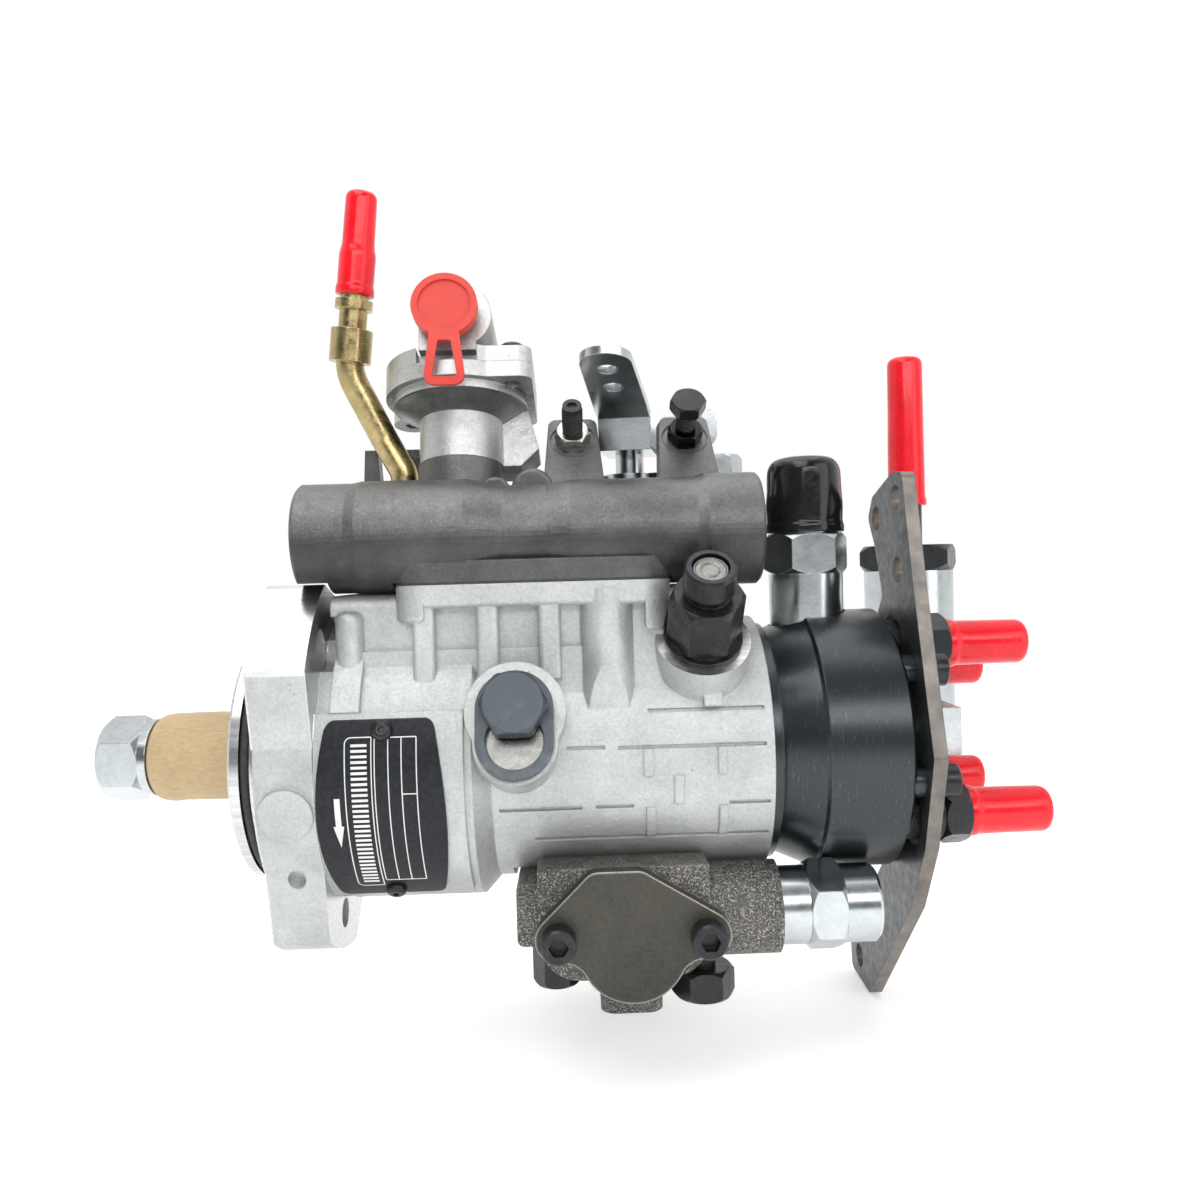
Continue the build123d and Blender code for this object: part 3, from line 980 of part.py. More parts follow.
def build_cover():
    """The cast governor cover with its long bulge, ears, lugs and screws, and its gasket."""
    seat_z = DECK_Z + COVER_GASKET
    body = cover_bulge()
    roof = block(COVER_START_X + COVER_WALL, COVER_END_X - COVER_WALL, BULGE_Y, COVER_BACK_Y, seat_z,
                 COVER_TOP_Z)
    body += fillet(roof.edges().filter_by(Axis.X).group_by(Axis.Z)[-1].sort_by(Axis.Y)[-1:], 6)
    body += extrude(Pos(0, 0, seat_z) * deck_outline(), COVER_FOOT)
    for centre in EAR_CENTRES_X:
        body += ear(centre)
    plinth = block(LUG_STARTS_X[0] - 2, LUG_STARTS_X[1] + LUG_WIDTH + 2, LUG_Y, LUG_Y + LUG_DEPTH + 2,
                   COVER_TOP_Z - 1, COVER_TOP_Z + LUG_PLINTH)
    body += fillet(plinth.edges().group_by(Axis.Z)[-1], LUG_PLINTH / 2)
    for x_low in LUG_STARTS_X:
        side = Polygon((x_low - 1, COVER_TOP_Z), (x_low + LUG_WIDTH + 1, COVER_TOP_Z),
                       (x_low + LUG_WIDTH, LUG_TOP_Z), (x_low, LUG_TOP_Z), align=None)
        body += Pos(0, LUG_Y, 0) * extrude(Plane.XZ * side, -LUG_DEPTH)
    body += boost_place(0) * Pos(0, 0, -BOOST_BASE_R / 2) * bar(BOOST_BASE_R, BOOST_BASE_HEIGHT + BOOST_BASE_R / 2)
    for x, z, radius in CROSS_BOSSES:
        boss = bar(radius, CROSS_BOSS_LENGTH)
        body += facing_viewer(fillet(boss.edges().sort_by(Axis.Z)[-1:], radius / 5), x, 0, z)
    body += Pos(UNION_X, UNION_Y, COVER_TOP_Z - 6) * bar(UNION_FLATS / 2, 6)
    hollow = block(TOP_WINDOW_START_X, TOP_WINDOW_END_X, -TOP_WINDOW_HALF_WIDTH, TOP_WINDOW_HALF_WIDTH,
                   seat_z - 1, COVER_TOP_Z - COVER_WALL)
    body -= cover_clearance() + hollow
    for centre in EAR_CENTRES_X:
        body -= stop_screw_place(centre, -2 * EAR_THICKNESS) * bar(STOP_SCREW_R + RUN_GAP, 4 * EAR_THICKNESS)
        body -= stop_screw_place(centre, -SPOT_DEPTH) * bar(SPOT_R, EAR_THICKNESS)
    body -= Pos(THROTTLE_X, THROTTLE_Y, seat_z) * bar(THROTTLE_R + RUN_GAP, COVER_TOP_Z)
    body -= Pos(UNION_X, UNION_Y, COVER_TOP_Z - UNION_THREAD) * bar(UNION_THREAD_R + SEAT_GAP, COVER_TOP_Z)
    body -= boost_place(BOOST_PIN_FOOT) * bar(BOOST_PIN_R + SAFE_GAP, COVER_TOP_Z)
    gasket = extrude(Pos(0, 0, DECK_Z) * deck_outline(), COVER_GASKET) - Pos(0, 0, -COVER_WALL) * hollow
    head_z = seat_z + COVER_FOOT
    screws = []
    for x, y in COVER_SCREW_SITES:
        body -= Pos(x, y, head_z) * bar(SCREW_M6_HEAD_R + 2 * SAFE_GAP, COVER_TOP_Z)
        body -= Pos(x, y, DECK_Z) * bar(SCREW_M6_R + BOLT_GAP, COVER_FOOT * 2)
        gasket -= Pos(x, y, DECK_Z - 1) * bar(SCREW_M6_R + BOLT_GAP, 4 * COVER_GASKET)
        screws.append(Pos(x, y, head_z) * m6_screw(COVER_SCREW_LENGTH))
    keep("governor_cover", body)
    keep("cover_gasket", gasket)
    keep("cover_screws", *screws)
    union = hex_bar(UNION_FLATS, UNION_HEIGHT) + Pos(0, 0, -UNION_THREAD) * bar(UNION_THREAD_R, UNION_THREAD)
    union += Pos(0, 0, UNION_HEIGHT) * bar(UNION_THREAD_R - 1, UNION_STUB)
    keep("overflow_union", Pos(UNION_X, UNION_Y, COVER_TOP_Z) * union)


def throttle_lever():
    """The bent lever: a flat seat, a rounded upright with two holes, and a short upright wing."""
    thick, bend, tip = LEVER_THICKNESS, LEVER_BEND_REACH, LEVER_TIP_REACH
    half, back = LEVER_WIDTH / 2, -LEVER_WIDTH / 2
    profile = Polygon((back, 0), (bend, 0), (bend + 1, LEVER_RISE - thick), (tip, LEVER_TIP_RISE - thick),
                      (tip, LEVER_TIP_RISE), (bend - thick, LEVER_RISE), (bend - thick, thick),
                      (back, thick), align=None)
    lever = extrude(Plane.XZ * profile, half, both=True)
    height = 2 * LEVER_TIP_RISE
    waist = LEVER_BEND_REACH + half
    plan = Polygon((back, -half), (waist, -half), (tip - LEVER_TIP_R, -LEVER_TIP_R),
                   (tip - LEVER_TIP_R, LEVER_TIP_R), (waist, half), (back, half), align=None)
    lever &= extrude(plan + Pos(tip - LEVER_TIP_R, 0) * Circle(LEVER_TIP_R), height)
    for reach in LEVER_HOLE_REACHES:
        lever -= Pos(reach, 0, 0) * bar(LEVER_HOLE_R, height)
    tab = block(back - WING_OFFSET, 0, -half, half, 0, thick)
    wing = Polygon((-half, 0), (-half, WING_HEIGHT), (WING_REACH, WING_HEIGHT), (WING_REACH, thick),
                   (half, 0), align=None)
    wing = fillet(wing.vertices().sort_by(Axis.X)[-2:], WING_HEIGHT / 3)
    wing = across_x(wing, back - WING_OFFSET, thick)
    return lever + tab + wing - bar(THROTTLE_R - 1 + SEAT_GAP, thick)


def build_throttle():
    """The throttle shaft with its stop arms, the bent lever and its nut, and both stop screws."""
    foot = COVER_TOP_Z - THROTTLE_DEPTH
    shaft = Pos(0, 0, foot) * bar(THROTTLE_R, LEVER_Z - foot)
    shaft += Pos(0, 0, LEVER_Z) * bar(THROTTLE_R - 1, LEVER_THICKNESS + THROTTLE_NUT_HEIGHT + 2)
    arms = bar(1.8 * THROTTLE_R, ARM_THICKNESS)
    for angle, reach in STOP_ARMS:
        arms += Rot(0, 0, angle) * block(0, reach, -ARM_THICKNESS / 2, ARM_THICKNESS / 2, 0, ARM_THICKNESS)
    shaft += Pos(0, 0, ARM_Z) * arms
    keep("throttle_shaft", Pos(THROTTLE_X, THROTTLE_Y, 0) * shaft)
    keep("throttle_lever", Pos(THROTTLE_X, THROTTLE_Y, LEVER_Z) * Rot(0, 0, LEVER_ANGLE) * throttle_lever())
    nut = hex_bar(THROTTLE_NUT_FLATS, THROTTLE_NUT_HEIGHT) - bar(THROTTLE_R - 1 + SEAT_GAP, THROTTLE_NUT_HEIGHT)
    keep("lever_nut", Pos(THROTTLE_X, THROTTLE_Y, LEVER_Z + LEVER_THICKNESS) * nut)
    tail = EAR_THICKNESS + STOP_SCREW_TAIL
    shank = Pos(0, 0, -tail) * bar(STOP_SCREW_R, tail + IDLE_SCREW_OUT)
    socket = extrude(RegularPolygon(STOP_SCREW_R * 0.58, 6), STOP_SCREW_R)
    left, right = EAR_CENTRES_X
    keep("idle_screw", stop_screw_place(left, 0) * (shank - Pos(0, 0, IDLE_SCREW_OUT - STOP_SCREW_R) * socket))
    bolt = Pos(0, 0, -tail) * bar(STOP_SCREW_R, tail + MAX_BOLT_OUT)
    bolt += Pos(0, 0, MAX_BOLT_OUT) * hex_bar(STOP_NUT_FLATS, MAX_BOLT_HEAD)
    keep("max_speed_screw", stop_screw_place(right, 0) * bolt)
    nut = hex_bar(STOP_NUT_FLATS, STOP_NUT_HEIGHT) - bar(STOP_SCREW_R + RUN_GAP, STOP_NUT_HEIGHT)
    keep("stop_screw_nuts", *[stop_screw_place(centre, -SPOT_DEPTH) * nut for centre in EAR_CENTRES_X])


# ---------------------------------------------------------------- boost control and return pipe
def boost_outline():
    """The flange's outline: a round with a square near the right and an ear at the left rear."""
    outline = Circle(BOOST_FLANGE_R)
    corner = RectangleRounded(2 * BOOST_FLANGE_R, BOOST_SQUARE_FRONT + BOOST_SQUARE_BACK, BOOST_CORNER_R)
    corner &= Pos(BOOST_FLANGE_R, 0) * Rectangle(2 * BOOST_FLANGE_R, 4 * BOOST_FLANGE_R)
    outline += Pos(0, (BOOST_SQUARE_BACK - BOOST_SQUARE_FRONT) / 2) * corner
    x, y = BOOST_SCREW_SITES[0]
    return outline + make_hull([*(Pos(x, y) * Circle(BOOST_EAR_R)).edges(), *Circle(BOOST_EAR_R).edges()])


def boost_place(height):
    """The frame on the boost control's leaning axis, a height above the cover's roof."""
    return Pos(BOOST_X, BOOST_Y, COVER_TOP_Z) * Rot(-BOOST_LEAN, 0, 0) * Pos(0, 0, height)


def boost_plug():
    """The rubber plug: a recessed disc over the port's mouth, its skirt, and a strap with a slot."""
    front = BOOST_PORT_FRONT + CAP_WALL + SEAT_GAP
    plug = facing_viewer(bar(BOOST_PLUG_R, PLUG_DISC), 0, -front + PLUG_DISC - RECESS, 0)
    plug -= facing_viewer(bar(BOOST_PLUG_R - PLUG_RIM, RECESS), 0, -front, 0)
    mouth = -front + PLUG_SKIRT
    plug += facing_viewer(bar(BOOST_STUB_R + CAP_WALL + SEAT_GAP, PLUG_SKIRT), 0, mouth, 0)
    plug -= facing_viewer(bar(BOOST_STUB_R + SEAT_GAP, PLUG_SKIRT - CAP_WALL), 0, mouth, 0)
    strap = Polygon((-STRAP_FOOT, -STRAP_LENGTH), (STRAP_FOOT, -STRAP_LENGTH), (STRAP_NECK, 0),
                    (-STRAP_NECK, 0), align=None)
    strap = fillet(strap.vertices().sort_by(Axis.Y)[:2], STRAP_NECK * 0.7)
    slot = Polygon((-STRAP_FOOT + STRAP_BAND, -STRAP_LENGTH + STRAP_BAND),
                   (STRAP_FOOT - STRAP_BAND, -STRAP_LENGTH + STRAP_BAND),
                   (STRAP_NECK - STRAP_BAND, -STRAP_BAND), (STRAP_BAND - STRAP_NECK, -STRAP_BAND), align=None)
    strap = extrude(strap - fillet(slot.vertices(), STRAP_BAND / 4), CAP_WALL)
    return plug + facing_viewer(strap, 0, -front + CAP_WALL - RECESS, 1 - BOOST_PLUG_R)


def build_boost():
    """The boost control: body, diaphragm with its pin, cover with the port, screws and red plug."""
    body = bar(BOOST_NECK_R, BOOST_NECK_TOP - BOOST_BASE_HEIGHT)
    body = Pos(0, 0, BOOST_BASE_HEIGHT) * body
    cone = Cone(BOOST_NECK_R, BOOST_BOWL_R - 1, BOOST_CONE_TOP - BOOST_NECK_TOP, align=LOW)
    body += Pos(0, 0, BOOST_NECK_TOP) * cone
    body += Pos(0, 0, BOOST_CONE_TOP) * bar(BOOST_BOWL_R, BOOST_FLANGE_Z - BOOST_CONE_TOP)
    body += extrude(Pos(0, 0, BOOST_FLANGE_Z) * boost_outline(), BOOST_JOINT_Z - BOOST_FLANGE_Z)
    duct = Polygon((0, DUCT_LOW_Z), (BOOST_FLANGE_R - 5, DUCT_LOW_Z), (BOOST_FLANGE_R + 1, DUCT_ELBOW_Z),
                   (BOOST_FLANGE_R - 3, BOOST_FLANGE_Z), (0, BOOST_FLANGE_Z), align=None)
    body += Pos(0, DUCT_Y, 0) * extrude(Plane.XZ * duct, -DUCT_WIDTH)
    chamber_r = BOOST_BOWL_R - COVER_WALL
    body -= Pos(0, 0, BOOST_JOINT_Z - BOOST_CHAMBER) * bar(chamber_r, BOOST_CHAMBER)
    body -= Pos(0, 0, BOOST_BASE_HEIGHT) * bar(BOOST_PIN_R + RUN_GAP, BOOST_JOINT_Z)
    cover = extrude(Pos(0, 0, BOOST_JOINT_Z) * boost_outline(), BOOST_COVER_TOP_Z - BOOST_JOINT_Z)
    recess = PORT_BLOCK_HALF + 2 * BOLT_GAP
    cover -= block(PORT_BLOCK_X - recess, PORT_BLOCK_X + recess, -2 * BOOST_FLANGE_R,
                   -PORT_BLOCK_FRONT + COVER_WALL, BOOST_JOINT_Z, BOOST_COVER_TOP_Z + 1)
    port = block(-PORT_BLOCK_HALF + PORT_BLOCK_X, PORT_BLOCK_HALF + PORT_BLOCK_X, -PORT_BLOCK_FRONT,
                 PORT_BLOCK_HALF, BOOST_COVER_TOP_Z, BOOST_PORT_Z)
    port += facing_viewer(bar(BOOST_PORT_R, PORT_BLOCK_FRONT + BOOST_PORT_BACK), PORT_ROUND_X, BOOST_PORT_BACK,
                          BOOST_PORT_Z)
    stub_length = BOOST_PORT_FRONT - PORT_BLOCK_FRONT
    port += facing_viewer(bar(BOOST_STUB_R, stub_length + 1), PORT_BLOCK_X, 1 - PORT_BLOCK_FRONT, BOOST_PORT_Z)
    port -= facing_viewer(bar(BOOST_STUB_R / 2, BOOST_PORT_FRONT), PORT_BLOCK_X, 0, BOOST_PORT_Z)
    head = fillet(bar(BOOST_HEAD_R, BOOST_HEAD_HEIGHT).edges().sort_by(Axis.Z)[-1:], BOOST_HEAD_HEIGHT * 0.6)
    head -= Pos(0, 0, BOOST_HEAD_HEIGHT / 3) * extrude(RegularPolygon(BOOST_HEAD_R / 2.2, 6), BOOST_HEAD_HEIGHT)
    head += Pos(0, 0, BOOST_FLANGE_Z + 1 - BOOST_COVER_TOP_Z) * bar(
        BOOST_SHANK_R, BOOST_COVER_TOP_Z - BOOST_FLANGE_Z - 1)
    screws = []
    for x, y in BOOST_SCREW_SITES:
        body -= Pos(x, y, BOOST_FLANGE_Z - 1) * bar(BOOST_SHANK_R + SEAT_GAP, BOOST_JOINT_Z)
        cover -= Pos(x, y, BOOST_JOINT_Z - 1) * bar(BOOST_SHANK_R + BOLT_GAP, BOOST_JOINT_Z)
        screws.append(boost_place(BOOST_COVER_TOP_Z) * Pos(x, y, 0) * head)
    keep("boost_body", boost_place(0) * body)
    keep("boost_cover", boost_place(0) * (cover + port))
    keep("boost_screws", *screws)
    plate_z = BOOST_JOINT_Z - BOOST_CHAMBER / 3
    pin = Pos(0, 0, plate_z) * bar(chamber_r - 1, BOOST_PLATE)
    pin += Pos(0, 0, BOOST_PIN_FOOT) * bar(BOOST_PIN_R, plate_z - BOOST_PIN_FOOT)
    keep("boost_diaphragm", boost_place(0) * pin)
    keep("boost_port_plug", boost_place(BOOST_PORT_Z) * Pos(PORT_BLOCK_X, 0, 0) * boost_plug())


def build_return_pipe():
    """The bent return pipe with its collar, beaded end and red transit cap."""
    path = FilletPolyline(*PIPE_ROUTE, radius=PIPE_BEND_RADII)
    start = Plane(origin=path @ 0, z_dir=path % 0)
    pipe = sweep(start * (Circle(PIPE_R) - Circle(PIPE_R - PIPE_WALL)), path=path)
    end = Plane(origin=path @ 1, z_dir=path % 1)
    inner_r = PIPE_R - PIPE_WALL / 2
    collar = end * Pos(0, 0, -PIPE_COLLAR_SETBACK) * tube(PIPE_COLLAR_R, inner_r, PIPE_COLLAR_LENGTH)
    bead = fillet(tube(PIPE_BEAD_R, inner_r, PIPE_BEAD_LENGTH).edges().sort_by(Axis.Z)[-1:], 0.5)
    keep("return_pipe", pipe + collar + end * Pos(0, 0, -PIPE_BEAD_SETBACK) * bead)
    mouth = bar(PIPE_R + CAP_WALL, PIPE_CAP_MOUTH)
    slim = fillet(bar(PIPE_R + CAP_WALL / 2, PIPE_CAP_LENGTH).edges().sort_by(Axis.Z)[-1:], CAP_WALL * 1.5)
    cap = mouth + slim - bar(PIPE_R + SEAT_GAP, PIPE_CAP_DEPTH)
    keep("return_cap", end * Pos(0, 0, -PIPE_CAP_SETBACK) * cap)


# ---------------------------------------------------------------- advance unit
def advance_outline():
    """The cover's face: a flat top, a lobe round each screw and a round chin, blended together."""
    half = ADVANCE_SCREW_SPACING / 2
    lobes = [Pos(side * half, 0) * Circle(ADVANCE_LOBE_R) for side in (-1, 1)]
    corners = [Pos(x, ADVANCE_TOP_RISE - ADVANCE_CORNER_R) * Circle(ADVANCE_CORNER_R) for x in ADVANCE_CORNERS_X]
    upper = make_hull([edge for shape in lobes + corners for edge in shape.edges()])
    outline = upper + Pos(0, -ADVANCE_CHIN_DROP) * Circle(ADVANCE_CHIN_R)
    hollows = [corner for corner in outline.vertices()
               if corner.Y < -ADVANCE_LOBE_R / 2 and abs(corner.X) < half - 1]
    return fillet(hollows, ADVANCE_LOBE_R)


def build_advance():
    """The cast-iron advance housing, its piston, cover, screws, end plug, nuts and actuator."""
    x, z, deep = ADVANCE_X, ADVANCE_Z, ADVANCE_HALF_DEPTH
    body = block(ADVANCE_BLOCK_START_X, ADVANCE_BLOCK_END_X, -deep, deep, ADVANCE_BLOCK_BOTTOM_Z,
                 ADVANCE_BLOCK_TOP_Z)
    body = fillet(body.edges().filter_by(Axis.Y).group_by(Axis.Z)[0], ADVANCE_BLOCK_CORNER_R)
    chin_z = ADVANCE_SCREW_Z - ADVANCE_CHIN_DROP
    body += facing_viewer(bar(ADVANCE_CHIN_R + ADVANCE_RIM, 2 * deep), x, deep, chin_z)
    nub = block(x - NUB_HALF_WIDTH, x + NUB_HALF_WIDTH, -NUB_LENGTH, 0, NUB_BOTTOM_Z, z)
    body += fillet(nub.edges().filter_by(Axis.Z), NUB_HALF_WIDTH / 2)
    left_ear = block(ADVANCE_BLOCK_START_X - EAR_REACH, ADVANCE_BLOCK_START_X + EAR_REACH, *ADVANCE_EAR_Y,
                     *ADVANCE_EAR_Z)
    body += fillet(left_ear.edges().filter_by(Axis.Y).group_by(Axis.X)[0], EAR_REACH / 3)
    boss_x = ADVANCE_BLOCK_END_X - ACTUATOR_BOSS_R
    body += along_x(bar(ACTUATOR_BOSS_R, ACTUATOR_BOSS_END_X - boss_x), boss_x, ACTUATOR_Y, ACTUATOR_Z)
    saddle = along_x(bar(REAR_BARREL_R + SADDLE_GAP, HOUSING_END_X), FRONT_BARREL_END_X)
    foot = block(FRONT_BARREL_END_X, ADVANCE_BLOCK_END_X + SADDLE_EDGE, -2 * deep, 2 * deep, 2 * z, FOOT_Z)
    body -= saddle - foot
    body -= facing_viewer(bar(ADVANCE_BORE_R, 2 * deep), x, deep, z)
    body -= Pos(x, 0, z) * bar(STUD_SLOT_R, CAM_BORE_R)
    socket_r = ACTUATOR_SHANK_R
    socket_depth = ACTUATOR_SHANK_LENGTH + 2
    body -= along_x(bar(socket_r, 2 * socket_depth), ACTUATOR_BOSS_END_X - socket_depth, ACTUATOR_Y, ACTUATOR_Z)
    cover = facing_viewer(extrude(advance_outline(), ADVANCE_COVER_THICKNESS), x, -deep, ADVANCE_SCREW_Z)
    screws, nuts = [], []
    for side in (-1, 1):
        sx = x + side * ADVANCE_SCREW_SPACING / 2
        body -= facing_viewer(bar(SCREW_M6_R + SEAT_GAP, ADVANCE_SCREW_LENGTH), sx, -deep + ADVANCE_SCREW_LENGTH,
                              ADVANCE_SCREW_Z)
        cover -= facing_viewer(bar(SCREW_M6_R + BOLT_GAP, 2 * deep), sx, 0, ADVANCE_SCREW_Z)
        screws.append(facing_viewer(m6_screw(ADVANCE_SCREW_LENGTH), sx, -deep - ADVANCE_COVER_THICKNESS,
                                    ADVANCE_SCREW_Z))
    for nx, ny, top, flats, height in CAP_NUT_SITES:
        body -= Pos(nx, ny, top - 1) * bar(CAP_NUT_STUD_R + SEAT_GAP, CAP_NUT_STUD + 2)
        nut = Pos(0, 0, -height) * hex_bar(flats, height) + bar(CAP_NUT_STUD_R, CAP_NUT_STUD)
        nuts.append(Pos(nx, ny, top) * nut)
        body -= Pos(nx, ny, top + z) * bar(flats / sqrt(3) + RUN_GAP, -z)
    keep("advance_housing", body)
    keep("advance_cover", cover)
    keep("advance_cover_screws", *screws)
    keep("advance_cap_nuts", *nuts)
    piston = facing_viewer(bar(ADVANCE_BORE_R - RUN_GAP, PISTON_LENGTH), x, PISTON_LENGTH / 2, z)
    piston -= Pos(x, 0, z - ADVANCE_STUD_R - 1) * bar(ADVANCE_STUD_R + 1, PISTON_LENGTH)
    spring_cup = Pos(0, -PISTON_LENGTH / 2 - 1, z) * Rot(-90, 0, 0) * bar(PISTON_CUP_R, PISTON_CUP_DEPTH)
    for turn in (0, 180):
        piston -= Pos(x, 0, 0) * Rot(0, 0, turn) * spring_cup
    keep("advance_piston", piston)
    plug = hex_bar(END_PLUG_FLATS, END_PLUG_HEIGHT)
    plug += Pos(0, 0, -END_PLUG_DEPTH) * bar(ADVANCE_BORE_R - SEAT_GAP, END_PLUG_DEPTH)
    keep("advance_end_plug", facing_viewer(Rot(180, 0, 0) * plug, x, deep, z))
    shank = along_x(bar(socket_r - SEAT_GAP, ACTUATOR_SHANK_LENGTH), ACTUATOR_BOSS_END_X - ACTUATOR_SHANK_LENGTH,
                    ACTUATOR_Y, ACTUATOR_Z)
    hexagon = Rot(0, 0, ACTUATOR_HEX_TURN) * hex_bar(ACTUATOR_FLATS, ACTUATOR_HEX_LENGTH)
    steps = bar(ACTUATOR_R, ACTUATOR_LENGTH) + Pos(0, 0, ACTUATOR_HEX_START) * hexagon
    steps = chamfer(steps.edges().sort_by(Axis.Z)[-1:], 1)
    keep("advance_actuator", shank + along_x(steps, ACTUATOR_BOSS_END_X, ACTUATOR_Y, ACTUATOR_Z))


def build_housing():
    """The housing, the data plate on it and the plate's screws."""
    sheet, screws, holes = data_plate()
    body = pump_housing()
    for hole in holes:
        body -= hole
    keep("pump_housing", body)
    keep("data_plate", sheet)
    keep("data_plate_screws", *screws)


if __name__ == "__main__":
    for build in (build_housing, build_drive_end, build_seals, build_governor, build_cam, build_head,
                  build_inlet, build_bracket, build_solenoid, build_flank, build_cover, build_throttle,
                  build_boost, build_return_pipe, build_advance):
        build()
    os.makedirs("parts", exist_ok=True)
    for name, piece in PIECES.items():
        export_step(piece, f"parts/{name}.step")
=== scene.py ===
"""Looks of the rotary diesel injection pump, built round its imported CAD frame.

Every length is in metres and every piece stands in the frame's own axes: X along the drive shaft,
Z up to the governor cover, and -Y towards the side with the data plate.
"""
import logging
import math
from dataclasses import dataclass, field
from enum import Enum

import bmesh
import bpy
import numpy as np
from mathutils import Matrix, Vector

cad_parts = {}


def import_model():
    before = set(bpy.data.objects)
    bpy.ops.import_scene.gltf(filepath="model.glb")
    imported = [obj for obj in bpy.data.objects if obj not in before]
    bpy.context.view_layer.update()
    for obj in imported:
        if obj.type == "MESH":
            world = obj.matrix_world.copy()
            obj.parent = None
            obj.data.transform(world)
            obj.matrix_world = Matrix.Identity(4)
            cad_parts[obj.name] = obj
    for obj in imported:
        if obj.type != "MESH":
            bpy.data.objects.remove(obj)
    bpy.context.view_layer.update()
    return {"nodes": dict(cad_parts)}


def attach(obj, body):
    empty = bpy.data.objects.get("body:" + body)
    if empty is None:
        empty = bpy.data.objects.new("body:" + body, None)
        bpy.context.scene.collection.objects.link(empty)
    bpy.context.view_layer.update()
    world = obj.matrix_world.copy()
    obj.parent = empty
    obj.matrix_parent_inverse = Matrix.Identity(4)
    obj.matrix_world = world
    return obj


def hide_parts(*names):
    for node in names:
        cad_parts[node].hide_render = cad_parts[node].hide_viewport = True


LOG = logging.getLogger("injection_pump")
CAP_POLE = 0.0003  # the radius at which a turned cap is closed by a flat
DISC_POLE = 0.0002  # the same on a disc
Colour = tuple[float, float, float]
Socket = bpy.types.NodeSocket


class Direction(Enum):
    """The axis that a turned or brushed finish runs round or along."""

    X = 0
    Y = 1
    Z = 2


class Finish(Enum):
    """The finishes, named as the record's material slots are wherever one stands for a slot."""

    CAST_ALUMINIUM = "cast_aluminium"
    BOOST_CASTING = "boost_casting"
    COVER_CASTING = "cover_casting"
    CAST_IRON = "cast_iron"
    BRONZE_COVER = "bronze_cover"
    BLACK_STEEL = "black_steel"
    BLUED_STEEL = "blued_steel"
    TURNED_BLACK = "turned_black"
    BRACKET_STEEL = "bracket_steel"
    ZINC_STEEL = "zinc_steel"
    STOP_NUTS = "stop_nuts"
    YELLOW_ZINC = "yellow_zinc"
    GROUND_STEEL = "ground_steel"
    PLAIN_STEEL = "plain_steel"
    BRONZE = "bronze"
    RED_VINYL = "red_vinyl"
    RED_DISC = "red_disc"
    BLACK_VINYL = "black_vinyl"
    CARD = "card"
    BLACK_RUBBER = "black_rubber"
    PLATE_BLACK = "plate_black"
    PLATE_PRINT = "plate_print"


